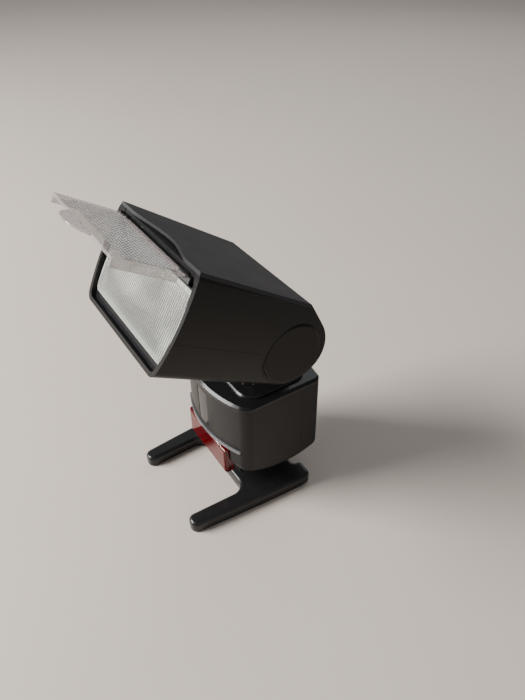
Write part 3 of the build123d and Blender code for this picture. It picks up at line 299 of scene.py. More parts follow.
def turned(name, profile, axis, steps=32, arms=None):
    """A closed turned form: profile is (radius, height) from pole to pole, axis its direction."""
    along = Vector(axis).normalized()
    side = along.orthogonal().normalized()
    other = along.cross(side)
    points, faces = [], []
    for radius, height in profile:
        for step in range(steps):
            angle = 2 * math.pi * step / steps
            sink = arms(step, radius) if arms else 0.0
            ring = side * math.cos(angle) + other * math.sin(angle)
            points.append(ring * max(radius, 1e-9) + along * (height - sink))
    for ring_start in range(0, (len(profile) - 1) * steps, steps):
        for step in range(steps):
            a, b = ring_start + step, ring_start + (step + 1) % steps
            faces.append((a, b, b + steps, a + steps))
    return mesh_piece(name, points, faces)


def make_pieces_on_points():
    """Geometry Nodes: one piece at each point of the mesh, made real, in one finish."""
    tree, given, result = new_tree(
        "GeometryNodeTree",
        "pieces_on_points",
        {
            "Points": ("NodeSocketGeometry",),
            "Piece": ("NodeSocketObject",),
            "Size": (FLOAT, 1.0),
            "Finish": ("NodeSocketMaterial",),
        },
        {"Geometry": ("NodeSocketGeometry",)},
    )
    shape = add(tree, "GeometryNodeObjectInfo", {"Object": given.outputs["Piece"]})
    turn = add(tree, "GeometryNodeInputNamedAttribute", {"Name": "turn"}, data_type="FLOAT_VECTOR")
    rotation = add(tree, "FunctionNodeEulerToRotation", {0: turn.outputs["Attribute"]})
    placed = add(
        tree,
        "GeometryNodeInstanceOnPoints",
        {
            "Points": given.outputs["Points"],
            "Instance": shape.outputs["Geometry"],
            "Rotation": rotation.outputs[0],
        },
    )
    tree.links.new(given.outputs["Size"], placed.inputs["Scale"])
    real = add(tree, "GeometryNodeRealizeInstances", {"Geometry": placed.outputs[0]})
    painted = add(
        tree,
        "GeometryNodeSetMaterial",
        {"Geometry": real.outputs[0], "Material": given.outputs["Finish"]},
    )
    tree.links.new(painted.outputs[0], result.inputs["Geometry"])
    return tree


pieces_on_points = make_pieces_on_points()


def grow(piece, tree, values, corner=35.0):
    """Replace a piece's mesh with what a Geometry Nodes tree makes of it."""
    modifier = piece.modifiers.new(tree.name, "NODES")
    modifier.node_group = tree
    for socket in tree.interface.items_tree:
        if socket.in_out == "INPUT" and socket.name in values:
            modifier[socket.identifier] = values[socket.name]
    bpy.context.view_layer.update()
    found = bpy.context.evaluated_depsgraph_get()
    made = bpy.data.meshes.new_from_object(piece.evaluated_get(found))
    piece.modifiers.remove(modifier)
    made.set_sharp_from_angle(angle=math.radians(corner))
    piece.data = made
    return piece


def repeat(name, pattern, points, finish, turns=None):
    """Set copies of a pattern piece on points and remove the pattern."""
    mesh = bpy.data.meshes.new(name)
    mesh.from_pydata([tuple(p) for p in points], [], [])
    if turns:
        store = mesh.attributes.new("turn", "FLOAT_VECTOR", "POINT")
        store.data.foreach_set("vector", [value for turn in turns for value in turn])
    piece = bpy.data.objects.new(name, mesh)
    bpy.context.scene.collection.objects.link(piece)
    grow(piece, pieces_on_points, {"Piece": pattern, "Finish": finish})
    bpy.data.objects.remove(pattern)
    return piece


def cross_recess(radius, depth):
    """Sinks the arms of a cross recess into a turned head, for steps and radii inside it."""
    half_step = SCREW_SECTOR_ARMS // 2

    def sink(step, at):
        from_arm = min(step % SCREW_SECTOR_ARMS, SCREW_SECTOR_ARMS - step % SCREW_SECTOR_ARMS)
        in_arm = at < RECESS_REACH * radius and from_arm <= half_step * 0.3
        inside = at < RECESS_CORE * radius or in_arm
        return depth if inside else 0.0

    return sink


def screw(name, head_radius, head_height, shank_radius, length, axis):
    """A pan-head cross-recess screw with its head's underside at the origin, pointing along axis."""
    r, h = head_radius, head_height
    profile = [
        (0.0, -length), (shank_radius * 0.6, -length), (shank_radius, -length + 0.0006),
        (shank_radius, 0.0), (r * 0.96, 0.0), (r, h * 0.12), (r, h * 0.45), (r * 0.92, h * 0.75),
        (r * 0.74, h * 0.93), (r * 0.59, h), (r * 0.57, h), (r * 0.40, h), (r * 0.23, h), (r * 0.2, h),
        (0.0, h),
    ]
    return turned(name, profile, axis, SCREW_STEPS, cross_recess(r, h * 0.7))


def solids_of(node):
    """The separate solids of a CAD node that holds several, as lists of points in a fixed order."""
    form = bmesh.new()
    form.from_mesh(frame["nodes"][node].data)
    bmesh.ops.remove_doubles(form, verts=form.verts, dist=1e-6)
    left, found = set(form.verts), []
    while left:
        group, edge = [], [left.pop()]
        while edge:
            vertex = edge.pop()
            group.append(vertex.co.copy())
            for link in vertex.link_edges:
                other = link.other_vert(vertex)
                if other in left:
                    left.remove(other)
                    edge.append(other)
        found.append(group)
    form.free()
    return sorted(found, key=lambda points: tuple(round(value, 5) for value in middle(points)))


def middle(points):
    """Centre of the box round some points."""
    low = Vector(min(p[i] for p in points) for i in range(3))
    high = Vector(max(p[i] for p in points) for i in range(3))
    return (low + high) / 2


def reach(points, direction):
    """Lowest and highest place of points along a direction."""
    values = [p.dot(direction) for p in points]
    return min(values), max(values)


DOWN = Vector((0, 0, -1))


def seat_screws(name, node, body, outward, head_height):
    """Cross-head screws in place of a CAD node's plain ones; their heads look outward."""
    places = []
    for solid in solids_of(node):
        centre = middle(solid)
        low, high = reach(solid, outward)
        widest = max((p - centre - outward * (p - centre).dot(outward)).length for p in solid)
        places.append(centre + outward * (high - head_height - centre.dot(outward)))
    shank = widest * SHANK_SHARE
    pattern = screw(name + "_pattern", widest, head_height, shank, high - low - head_height, outward)
    screws = repeat(name, pattern, places, blackened_steel)
    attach(screws, body)
    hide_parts(node)
    return screws


seat_screws("foot_screws", "shoe_screws", "flash_body", DOWN, 0.0012)

# ---- Body shells, deck and windows -----------------------------------------------------
# Two satin ABS half shells joined at the side, under a polished deck that carries the
# swivel.  A dark infrared window, a light bevelled lip above the lamp and a clear-topped
# display window are laid into them.
GRIP_RIBS = 5
GRIP_PITCH = 0.0021

deck_gloss = moulded_plastic(
    "deck_gloss", (0.006, 0.0062, 0.007, 1), (0.05, 0.05, 0.055, 1), 0.26, 0.001, 0.000004, 0.03, 0.15, 0.3
)
painted_lip = moulded_plastic(
    "painted_lip", (0.115, 0.115, 0.122, 1), (0.30, 0.30, 0.31, 1), 0.22, 0.001, 0.000003, 0.08, 0.5
)
dress(body_plastic, "body_front_shell", "body_rear_shell", "battery_door")
dress(deck_gloss, "top_deck")
dress(painted_lip, "front_trim")


def clear_plastic(name, color, roughness, transmission, ripple=0.000004, smudge=0.1):
    """Clear moulded plastic with faint ripples and finger smudges."""
    made, tree, shader = new_material(name)
    place = add(tree, "ShaderNodeTexCoord").outputs["Object"]
    smears = add(
        tree, "ShaderNodeTexNoise", {"Vector": place, "Scale": 90.0, "Detail": 5.0, "Distortion": 0.6}
    )
    rough = add(
        tree,
        "ShaderNodeMapRange",
        {"Value": smears.outputs[0], 1: 0.45, 2: 0.8, 3: roughness, 4: roughness + smudge},
    )
    waves = add(tree, "ShaderNodeTexNoise", {"Vector": place, "Scale": 160.0, "Detail": 1.0})
    bump = add(tree, "ShaderNodeBump", {"Height": waves.outputs[0], "Distance": ripple, "Strength": 0.5})
    darker = [c * 0.93 for c in color[:3]] + [1]
    tint = add(tree, "ShaderNodeMixRGB", {0: smears.outputs[0], 1: color, 2: darker})
    tree.links.new(tint.outputs[0], shader.inputs["Base Color"])
    tree.links.new(rough.outputs[0], shader.inputs["Roughness"])
    tree.links.new(bump.outputs[0], shader.inputs["Normal"])
    shader.inputs["Transmission Weight"].default_value = transmission
    shader.inputs["IOR"].default_value = 1.49
    return made


smoked_acrylic = clear_plastic("smoked_acrylic", (0.02, 0.016, 0.018, 1), 0.08, 0.35)
dress(smoked_acrylic, "sensor_window", "lcd_window")


def rounded_bar(name, size, round_edge):
    """A bar with rounded edges, centred on the origin."""
    form = bmesh.new()
    bmesh.ops.create_cube(form, size=1.0)
    bmesh.ops.scale(form, vec=size, verts=form.verts)
    bmesh.ops.bevel(form, geom=form.edges[:], offset=round_edge, segments=3, profile=0.5, affect="EDGES")
    mesh = bpy.data.meshes.new(name)
    form.to_mesh(mesh)
    form.free()
    mesh.shade_smooth()
    mesh.set_sharp_from_angle(angle=math.radians(50))
    bar = bpy.data.objects.new(name, mesh)
    bpy.context.scene.collection.objects.link(bar)
    return bar


def centre_of(node):
    """Middle of a CAD node's box and its size."""
    low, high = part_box(node)
    return (low + high) / 2, high - low


# Thumb ribs moulded on the battery door.
door_centre, door_size = centre_of("battery_door")
door_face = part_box("battery_door")[0].x
rib_points = [
    (door_face + 0.0001, door_centre.y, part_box("battery_door")[1].z - 0.006 - GRIP_PITCH * i)
    for i in range(GRIP_RIBS)
]
rib = rounded_bar("rib_pattern", (0.0011, door_size.y * 0.42, 0.0009), 0.0004)
door_ribs = repeat("door_ribs", rib, rib_points, body_plastic)
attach(door_ribs, "battery_door")

# ---- Battery chamber and boards --------------------------------------------------------
# Four round cells lie crosswise in a grey tray between sprung steel contacts, with the
# main capacitor in front of them and a green circuit board behind.
CELL_STEPS = 40

inner_plastic = moulded_plastic("inner_plastic", (0.055, 0.056, 0.060, 1), (0.16, 0.16, 0.165, 1), 0.5)
dress(inner_plastic, "battery_tray")
dress(satin_steel, "battery_contacts")


def banded(name, colors, stops, direction, low, high, roughness, metallic=0.0):
    """A printed sleeve: plain bands of colour from low to high along a direction."""
    made, tree, shader = new_material(name)
    place = add(tree, "ShaderNodeTexCoord").outputs["Object"]
    along = add(tree, "ShaderNodeVectorMath", {0: place, 1: tuple(direction)}, operation="DOT_PRODUCT")
    share = add(tree, "ShaderNodeMapRange", {"Value": along.outputs["Value"], 1: low, 2: high})
    bands = add(tree, "ShaderNodeValToRGB", {0: share.outputs[0]})
    ramp = bands.color_ramp
    ramp.interpolation = "CONSTANT"
    for stop, color in zip(stops[1:], colors[1:]):
        ramp.elements.new(stop).color = color
    ramp.elements[0].color = colors[0]
    ramp.elements.remove(ramp.elements[-1])
    scuffs = add(tree, "ShaderNodeTexNoise", {"Vector": place, "Scale": 500.0, "Detail": 6.0})
    rough = add(
        tree, "ShaderNodeMapRange", {"Value": scuffs.outputs[0], 3: roughness * 0.7, 4: roughness * 1.5}
    )
    film = add(tree, "ShaderNodeGroup", {"Color": bands.outputs[0]}, node_tree=dust_film)
    tree.links.new(film.outputs[0], shader.inputs["Base Color"])
    tree.links.new(rough.outputs[0], shader.inputs["Roughness"])
    shader.inputs["Metallic"].default_value = metallic
    return made


cell_low, cell_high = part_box("battery_cells")
cell_sleeve = banded(
    "cell_sleeve",
    [(0.55, 0.55, 0.56, 1), (0.014, 0.016, 0.022, 1), (0.45, 0.22, 0.08, 1), (0.6, 0.6, 0.6, 1)],
    [0.0, 0.03, 0.68, 0.955],
    (1, 0, 0),
    cell_low.x,
    cell_high.x,
    0.25,
    0.3,
)
cell_places = [middle(solid) for solid in solids_of("battery_cells")]
cell_long = cell_high.x - cell_low.x
cell_round = (cell_high.z - cell_low.z) / 2 - (
    max(p.z for p in cell_places) - min(p.z for p in cell_places)
) / 2
half = cell_long / 2
cell_profile = [
    (0.0, -half + 0.0002), (cell_round * 0.70, -half + 0.0002), (cell_round * 0.78, -half),
    (cell_round * 0.93, -half), (cell_round, -half + 0.0006), (cell_round, half - 0.0022),
    (cell_round * 0.94, half - 0.0013), (cell_round * 0.82, half - 0.0013),
    (cell_round * 0.78, half - 0.0018), (cell_round * 0.38, half - 0.0018),
    (cell_round * 0.36, half - 0.0002), (cell_round * 0.30, half), (0.0, half),
]
cell = turned("cell_pattern", cell_profile, (1, 0, 0), CELL_STEPS)
cells = repeat("cells", cell, cell_places, cell_sleeve)
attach(cells, "flash_body")
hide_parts("battery_cells")

capacitor_sleeve = banded(
    "capacitor_sleeve",
    [(0.5, 0.5, 0.5, 1), (0.012, 0.012, 0.014, 1), (0.35, 0.35, 0.36, 1)],
    [0.0, 0.02, 0.93],
    (1, 0, 0),
    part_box("main_capacitor")[0].x,
    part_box("main_capacitor")[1].x,
    0.3,
)
dress(capacitor_sleeve, "main_capacitor")


def board_laminate():
    """Green solder resist over copper tracks."""
    made, tree, shader = new_material("board_laminate")
    place = add(tree, "ShaderNodeTexCoord").outputs["Object"]
    tracks = add(tree, "ShaderNodeTexBrick", {"Vector": place, "Scale": 260.0, "Mortar Size": 0.03})
    tracks.inputs["Color1"].default_value = (0.010, 0.085, 0.035, 1)
    tracks.inputs["Color2"].default_value = (0.012, 0.105, 0.045, 1)
    tracks.inputs["Mortar"].default_value = (0.05, 0.22, 0.10, 1)
    edges = add(tree, "ShaderNodeGroup", {"Color": tracks.outputs["Color"]}, node_tree=worn_edges)
    edges.inputs["Worn Color"].default_value = (0.45, 0.40, 0.22, 1)
    bump = add(tree, "ShaderNodeBump", {"Height": tracks.outputs["Fac"], "Distance": 0.00003})
    smears = add(tree, "ShaderNodeTexNoise", {"Vector": place, "Scale": 200.0})
    rough = add(tree, "ShaderNodeMapRange", {"Value": smears.outputs[0], 3: 0.22, 4: 0.4})
    tree.links.new(edges.outputs[0], shader.inputs["Base Color"])
    tree.links.new(rough.outputs[0], shader.inputs["Roughness"])
    tree.links.new(bump.outputs[0], shader.inputs["Normal"])
    return made


dress(board_laminate(), "main_board")

# ---- Display and rear controls ---------------------------------------------------------
# A reflective grey-green display behind the smoked window, a row of four soft round keys,
# a larger test key and a sliding power switch.
display = moulded_plastic(
    "display_film", (0.20, 0.235, 0.19, 1), (0.25, 0.28, 0.24, 1), 0.3, 0.0006, 0.000002
)
key_rubber = moulded_plastic("key_rubber", (0.045, 0.045, 0.048, 1), (0.10, 0.10, 0.105, 1), 0.62, 0.0003)
dress(display, "lcd_module")
dress(key_rubber, "mode_button", "zoom_button", "minus_button", "plus_button")
dress(body_plastic, "power_switch")
dress(clear_plastic("test_key_amber", (0.75, 0.30, 0.06, 1), 0.25, 0.3), "test_button")

# ---- Focus lamp ------------------------------------------------------------------------
# A transparent dark red moulding stands proud of the front; a grey housing behind it holds
# the round focus lamp.
red_acrylic = clear_plastic("red_acrylic", (0.30, 0.004, 0.012, 1), 0.07, 0.80, 0.000003, 0.06)
lamp_red = clear_plastic("lamp_red", (0.75, 0.02, 0.03, 1), 0.10, 0.5)
dress(red_acrylic, "red_window")
dress(lamp_red, "focus_lamp")
dress(inner_plastic, "lamp_housing")

# ---- Swivel and neck -------------------------------------------------------------------
# A turntable and a yoke with a round hinge barrel, both satin black, held below the deck by
# a steel ring.  Fine painted lines on the deck mark the click positions.
TICKS = 24
TICK_LONG = 0.0018
TICK_WIDE = 0.00035

dress(body_plastic, "turntable", "neck_yoke")
dress(satin_steel, "swivel_retainer")
tick_paint = moulded_plastic("tick_paint", (0.14, 0.14, 0.145, 1), (0.5, 0.5, 0.5, 1), 0.5, 0.0003, 0.000004)
table_low, table_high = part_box("turntable")
table_middle = (table_low + table_high) / 2
tick_ring = (table_high.x - table_low.x) / 2 + TICK_LONG * 0.9
deck_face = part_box("top_deck")[1].z
tick_points, tick_turns = [], []
for i in range(TICKS):
    angle = 2 * math.pi * i / TICKS
    x = table_middle.x + tick_ring * math.cos(angle)
    y = table_middle.y + tick_ring * math.sin(angle)
    tick_points.append((x, y, deck_face))
    tick_turns.append((0.0, 0.0, angle))
tick = rounded_bar("tick_pattern", (TICK_LONG, TICK_WIDE, 0.00012), 0.00005)
swivel_ticks = repeat("swivel_ticks", tick, tick_points, tick_paint, tick_turns)
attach(swivel_ticks, "flash_body")

# ---- Head shells and top cover ---------------------------------------------------------
# Satin upper and lower shells meet at a straight seam; a flat matte cover with a wavy front
# edge lies on top.  In the wave a ridged strip bridges the panel's slot.
head_plastic = moulded_plastic(
    "head_plastic", (0.0055, 0.0052, 0.0054, 1), (0.05, 0.05, 0.052, 1), 0.36, dust=0.015, wear=0.3
)
cover_plastic = moulded_plastic(
    "cover_plastic", (0.030, 0.030, 0.034, 1), (0.09, 0.09, 0.095, 1), 0.58, 0.0005, 0.00003, 0.05
)
rim_gloss = moulded_plastic(
    "rim_gloss", (0.010, 0.010, 0.012, 1), (0.30, 0.30, 0.32, 1), 0.16, 0.002, 0.000003, 0.05, 0.7, 0.5
)
dress(head_plastic, "head_upper_shell", "head_lower_shell", "pivot_cover", "release_ring")
dress(cover_plastic, "head_top_cover")
dress(rim_gloss, "lens_bezel")
dress(head_plastic, "top_bridge")
dress(inner_plastic, "panel_tray")

joints = {joint["name"]: joint for joint in frame["joints"]}
pivot = Vector(joints["tilt"]["pos_m"])
ACROSS = Vector((1, 0, 0))
forward = Vector(joints["panel_slide"]["axis"]).normalized()
upward = forward.cross(ACROSS)
if upward.z < 0:
    upward = -upward


def in_head(x, along, height):
    """A point given across the head, along it from the tilt axis, and above that axis."""
    return pivot + ACROSS * x + forward * along + upward * height


def span(node, direction):
    """Lowest and highest place of a CAD node from the tilt axis along a direction."""
    low, high = reach([v.co for v in frame["nodes"][node].data.vertices], direction)
    return low - pivot.dot(direction), high - pivot.dot(direction)


STRIP_PITCH = 0.0011
STRIP_HALF = 0.0245
STRIP_SLOPE = math.atan2(1, 20)
STRIP_SUNK = 0.00018
strip_low, strip_high = span("top_bridge", forward)
strip_top = span("top_bridge", upward)[1]
strip_middle = (strip_low + strip_high) / 2 + 0.0002
strip_count = int(2 * STRIP_HALF / STRIP_PITCH) + 1
head_turn = math.atan2(forward.z, -forward.y)
ridge = rounded_bar("ridge_pattern", (0.0005, strip_high - strip_low - 0.0022, 0.0004), 0.00015)
ridge_points = [
    in_head((i - (strip_count - 1) / 2) * STRIP_PITCH, strip_middle, strip_top - STRIP_SUNK)
    for i in range(strip_count)
]
ridge_turns = [(-head_turn - STRIP_SLOPE, 0.0, 0.0)] * strip_count
ridges = repeat("strip_ridges", ridge, ridge_points, head_plastic, ridge_turns)
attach(ridges, "head")
seat_screws("head_case_screws", "head_screws", "head", -upward, 0.0009)

# ---- Flash window ----------------------------------------------------------------------
# A pale acrylic Fresnel lens with fine upright ridges closes the front of the head; it is
# held by a glossy black bezel.
LENS_PITCH = 0.0014
LENS_RIDGE = 0.00032
LENS_BORDER = 0.0010
LENS_ROWS = 14
LENS_CUT = 0.0010
LENS_LOW_CUT = 0.0016
BARREL_HEIGHT = 0.0019
BARREL_TOP = 0.0016
BARREL_LOW = 0.0014


def make_prism_relief():
    """Geometry Nodes: sinks a surface into straight ridges or small pyramids."""
    tree, given, result = new_tree(
        "GeometryNodeTree",
        "prism_relief",
        {
            "Surface": ("NodeSocketGeometry",),
            "Pitch": (FLOAT, 0.001),
            "Depth": (FLOAT, 0.0002),
            "Straight": (FLOAT, 0.0),
            "Start": (VECTOR, (0, 0, 0)),
            "Along": (VECTOR, (0, 0, 1)),
            "Sink": (VECTOR, (0, 0, -1)),
            "Finish": ("NodeSocketMaterial",),
        },
        {"Geometry": ("NodeSocketGeometry",)},
    )
    place = add(tree, "GeometryNodeInputPosition").outputs[0]
    from_start = add(
        tree, "ShaderNodeVectorMath", {0: place, 1: given.outputs["Start"]}, operation="SUBTRACT"
    )
    across = add(tree, "ShaderNodeSeparateXYZ", {0: from_start.outputs[0]}).outputs["X"]
    along = add(
        tree,
        "ShaderNodeVectorMath",
        {0: from_start.outputs[0], 1: given.outputs["Along"]},
        operation="DOT_PRODUCT",
    ).outputs["Value"]
    half = add(tree, "ShaderNodeMath", {0: given.outputs["Pitch"], 1: 0.5}, operation="MULTIPLY").outputs[0]
    rises = []
    for distance in (across, along):
        wave = add(tree, "ShaderNodeMath", {0: distance, 1: half}, operation="PINGPONG")
        share = add(tree, "ShaderNodeMath", {0: wave.outputs[0], 1: half}, operation="DIVIDE")
        rises.append(share.outputs[0])
    either = add(tree, "ShaderNodeMath", {0: rises[1], 1: given.outputs["Straight"]}, operation="MAXIMUM")
    rise = add(tree, "ShaderNodeMath", {0: rises[0], 1: either.outputs[0]}, operation="MINIMUM")
    fall = add(tree, "ShaderNodeMath", {0: 1.0, 1: rise.outputs[0]}, operation="SUBTRACT")
    deep = add(tree, "ShaderNodeMath", {0: fall.outputs[0], 1: given.outputs["Depth"]}, operation="MULTIPLY")
    relief = add(tree, "GeometryNodeInputNamedAttribute", {"Name": "relief"}, data_type="FLOAT")
    masked = add(
        tree, "ShaderNodeMath", {0: deep.outputs[0], 1: relief.outputs["Attribute"]}, operation="MULTIPLY"
    )
    move = add(tree, "ShaderNodeVectorMath", {0: given.outputs["Sink"]}, operation="SCALE")
    tree.links.new(masked.outputs[0], move.inputs["Scale"])
    moved = add(
        tree, "GeometryNodeSetPosition", {"Geometry": given.outputs["Surface"], "Offset": move.outputs[0]}
    )
    marked = add(
        tree,
        "GeometryNodeStoreNamedAttribute",
        {"Geometry": moved.outputs[0], "Name": "groove"},
        data_type="FLOAT",
    )
    tree.links.new(fall.outputs[0], marked.inputs["Value"])
    real = add(tree, "GeometryNodeRealizeInstances", {"Geometry": marked.outputs[0]})
    painted = add(
        tree, "GeometryNodeSetMaterial", {"Geometry": real.outputs[0], "Material": given.outputs["Finish"]}
    )
    tree.links.new(painted.outputs[0], result.inputs["Geometry"])
    return tree


prism_relief = make_prism_relief()


def prismatic_plastic(name, plain, ridge, groove, alphas, groove_from, dim):
    """Clear plastic whose moulded grooves are painted dark as painted shade and are denser than the ridges
    between them.

    The alphas are those of the plain borders, the ridges and the grooves; dim is how dark the
    ridges get between the soft bright patches, which are painted highlight.
    """
    made = clear_plastic(name, plain, 0.06, 0.35, 0.000002, 0.05)
    tree = made.node_tree
    shader = tree.nodes["Principled BSDF"]
    relief = add(tree, "ShaderNodeAttribute", attribute_name="relief").outputs["Fac"]
    sunk = add(tree, "ShaderNodeAttribute", attribute_name="groove").outputs["Fac"]
    line = add(tree, "ShaderNodeMapRange", {"Value": sunk, 1: groove_from, 2: 0.92}).outputs[0]
    place = add(tree, "ShaderNodeTexCoord").outputs["Object"]
    # Painted highlight: soft bright patches on the ridges, with dimmed ridge colour between them.
    painted_glow_noise = add(
        tree, "ShaderNodeTexNoise", {"Vector": place, "Scale": 42.0, "Detail": 1.0, "Distortion": 0.8}
    )
    painted_glow_mask = add(tree, "ShaderNodeMapRange", {"Value": painted_glow_noise.outputs[0], 1: 0.40, 2: 0.60}).outputs[0]
    lit = add(tree, "ShaderNodeMixRGB", {0: painted_glow_mask, 1: [c * dim for c in ridge[:3]] + [1], 2: ridge})
    # Painted shade: the grooves take the dark groove colour.
    shade = add(tree, "ShaderNodeMixRGB", {0: line, 1: lit.outputs[0], 2: groove})
    color = add(tree, "ShaderNodeMixRGB", {0: relief, 1: plain, 2: shade.outputs[0]})
    cover = add(tree, "ShaderNodeMapRange", {"Value": line, 3: alphas[1], 4: alphas[2]})
    alpha = add(tree, "ShaderNodeMix", {0: relief, 2: alphas[0], 3: cover.outputs[0]})
    tree.links.new(color.outputs[0], shader.inputs["Base Color"])
    tree.links.new(alpha.outputs[0], shader.inputs["Alpha"])
    return made


def mark_relief(piece, inside):
    """Store which points of a piece the relief moves."""
    store = piece.data.attributes.new("relief", "FLOAT", "POINT")
    store.data.foreach_set("value", [1.0 if inside(v.co) else 0.0 for v in piece.data.vertices])


lens_back, lens_front = span("fresnel_lens", forward)
lens_low, lens_high = span("fresnel_lens", upward)
lens_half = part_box("fresnel_lens")[1].x
corner_half = lens_half - BARREL_TOP
flat_half = corner_half - LENS_CUT
low_flat_half = lens_half - BARREL_LOW - LENS_LOW_CUT


def lens_span(x):
    """Lowest and highest point of the window at a distance across the head."""
    left = max(lens_half - abs(x), 0.0)
    high_arc = BARREL_HEIGHT + math.sqrt(left / BARREL_TOP) * (lens_high - LENS_CUT - BARREL_HEIGHT)
    low_arc = BARREL_HEIGHT - math.sqrt(left / BARREL_LOW) * (BARREL_HEIGHT - lens_low)
    cut = lens_high - (abs(x) - flat_half)
    low_cut = lens_low + (abs(x) - low_flat_half)
    return max(lens_low, low_arc, low_cut), min(lens_high, high_arc, cut)


columns = int(lens_half / (LENS_PITCH / 4))
points, faces = [], []
for side_along in (lens_front, lens_back):
    for i in range(-columns, columns + 1):
        x = i * LENS_PITCH / 4
        low, high = lens_span(x)
        for row in range(LENS_ROWS):
            points.append(in_head(x, side_along, low + (high - low) * row / (LENS_ROWS - 1)))
wide, per_side = 2 * columns + 1, (2 * columns + 1) * LENS_ROWS
for i in range(wide - 1):
    for row in range(LENS_ROWS - 1):
        a = i * LENS_ROWS + row
        quad = (a, a + 1, a + LENS_ROWS + 1, a + LENS_ROWS)
        faces.append(quad)
        faces.append(tuple(per_side + n for n in reversed(quad)))
edge = [i * LENS_ROWS for i in range(wide)]
edge += [(wide - 1) * LENS_ROWS + row for row in range(1, LENS_ROWS)]
edge += [i * LENS_ROWS + LENS_ROWS - 1 for i in reversed(range(wide - 1))]
edge += [row for row in reversed(range(1, LENS_ROWS - 1))]
for a, b in zip(edge, edge[1:] + edge[:1]):
    faces.append((a, b, per_side + b, per_side + a))
lens = mesh_piece("fresnel_window", points, faces, 25.0)


def on_lens_face(point):
    """Whether a point is on the outer face, inside its plain border."""
    local = point - pivot
    low, high = lens_span(local.x)
    height = local.dot(upward)
    inside = low + LENS_BORDER < height < high - LENS_BORDER and abs(local.x) < lens_half - LENS_BORDER
    return inside and local.dot(forward) > (lens_back + lens_front) / 2


mark_relief(lens, on_lens_face)
# The lens carries painted highlight patches on its ridges and painted shade in its grooves.
lens_acrylic = prismatic_plastic(
    "lens_acrylic",
    plain=(0.93, 0.95, 0.88, 1),
    ridge=(1.0, 1.0, 0.94, 1),
    groove=(0.05, 0.055, 0.045, 1),
    alphas=(0.5, 0.60, 0.70),
    groove_from=0.30,
    dim=0.5,
)
grow(
    lens,
    prism_relief,
    {
        "Pitch": LENS_PITCH,
        "Depth": LENS_RIDGE,
        "Straight": 1.0,
        "Start": pivot,
        "Along": upward,
        "Sink": -forward,
        "Finish": lens_acrylic,
    },
)
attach(lens, "head")
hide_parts("fresnel_lens")

# ---- Reflector, flash tube and zoom drive ----------------------------------------------
# Behind the lens a bright anodised trough holds the glass flash tube in pale rubber sleeves.
# The carriage slides on two steel rods, driven by a small motor and a brass lead screw.
bright_aluminium = metal("bright_aluminium", (0.93, 0.93, 0.90, 1), 0.16, (900.0, 900.0, 900.0), 0.000004)
tube_glass = clear_plastic("tube_glass", (0.95, 0.95, 0.92, 1), 0.04, 0.85)
sleeve_silicone = moulded_plastic(
    "sleeve_silicone", (0.62, 0.61, 0.56, 1), (0.7, 0.7, 0.66, 1), 0.55, 0.0006
)
dress(bright_aluminium, "reflector")
dress(tube_glass, "flash_tube")
dress(sleeve_silicone, "tube_sleeves")
dress(inner_plastic, "zoom_carriage", "trigger_coil")
dress(satin_steel, "zoom_frame", "zoom_rods", "zoom_motor", "pivot_pins", "release_spring", "panel_pins")
dress(turned_brass, "lead_screw")
dress(inner_plastic, "release_button", "panel_carriage")

# ---- Wide-angle panel ------------------------------------------------------------------
# A clear polycarbonate plate covered with small moulded pyramids, with plain borders, two
# beaded side walls and a thin thumb tab.  It hangs on two pins and folds over the window.
PANEL_PITCH = 0.0017
PANEL_RELIEF = 0.00055
PANEL_SIDE_BORDER = 0.0023
PANEL_TIP_BORDER = 0.0050
PANEL_ROOT_BORDER = 0.0018
PANEL_WALL = 0.0013
PANEL_PLATE = 0.0015
BEAD = 0.0020
BEAD_DEPTH = 0.00028
TAB_HALF = 0.012
TAB_REACH = 0.0075
TAB_THICK = 0.0009
EAR_INNER = 0.0260
EAR_OUTER = 0.0306

panel_low, panel_high = span("wide_panel", upward)
panel_back, panel_reach = span("wide_panel", forward)
panel_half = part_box("wide_panel")[1].x
panel_tip = panel_reach - TAB_REACH
panel_under = panel_high - PANEL_PLATE
plate_start = panel_back + 0.0022
wall_start = panel_back + 0.0035
step = PANEL_PITCH / 2
relief_half = int((panel_half - PANEL_SIDE_BORDER) / PANEL_PITCH) * PANEL_PITCH
relief_start = plate_start + PANEL_ROOT_BORDER
relief_rows = 2 * int((panel_tip - PANEL_TIP_BORDER - relief_start) / PANEL_PITCH)
relief_end = relief_start + relief_rows * step
cells_across = int(round(2 * relief_half / step))
top_x = [-panel_half + 0.0002, -panel_half + 0.0011]
top_x += [-relief_half + i * step for i in range(cells_across + 1)]
top_x += [panel_half - 0.0011, panel_half - 0.0002]
rows = [plate_start, wall_start, wall_start + 0.0004]
relief_lines = [relief_start + i * step for i in range(relief_rows + 1)]
rows += [along for along in relief_lines if along > rows[-1] + 0.0001]
first_relief_row = len(rows) - (relief_rows + 1)
bead_rows = [relief_end + 0.0006 * i for i in range(1, 8) if relief_end + 0.0006 * i < panel_tip - 0.0004]
rows += bead_rows + [panel_tip - 0.00025, panel_tip]


def panel_loop(along):
    """One cross-section of the plate and its two side walls."""
    last = along > panel_tip - 0.0001
    top = panel_high - (0.0002 if last else 0.0)
    under = panel_under + (0.0002 if last else 0.0)
    hang = panel_low + 0.0001 if along > wall_start + 0.0002 else panel_under - 0.00005
    bead = BEAD_DEPTH * abs(math.sin(math.pi * (along - wall_start) / BEAD))
    side = [
        (panel_half, top - 0.0002),
        (panel_half, top - 0.0007),
        (panel_half - bead, (top + hang) / 2 - 0.0002),
        (panel_half, hang + 0.0005),
        (panel_half, hang + 0.00015),
        (panel_half - 0.00015, hang),
        (panel_half - PANEL_WALL + 0.00015, hang),
        (panel_half - PANEL_WALL, hang + 0.00015),
        (panel_half - PANEL_WALL, under),
    ]
    loop = [(x, top) for x in top_x] + side + [(-x, u) for x, u in reversed(side)]
    return [in_head(x, along, u) for x, u in loop]


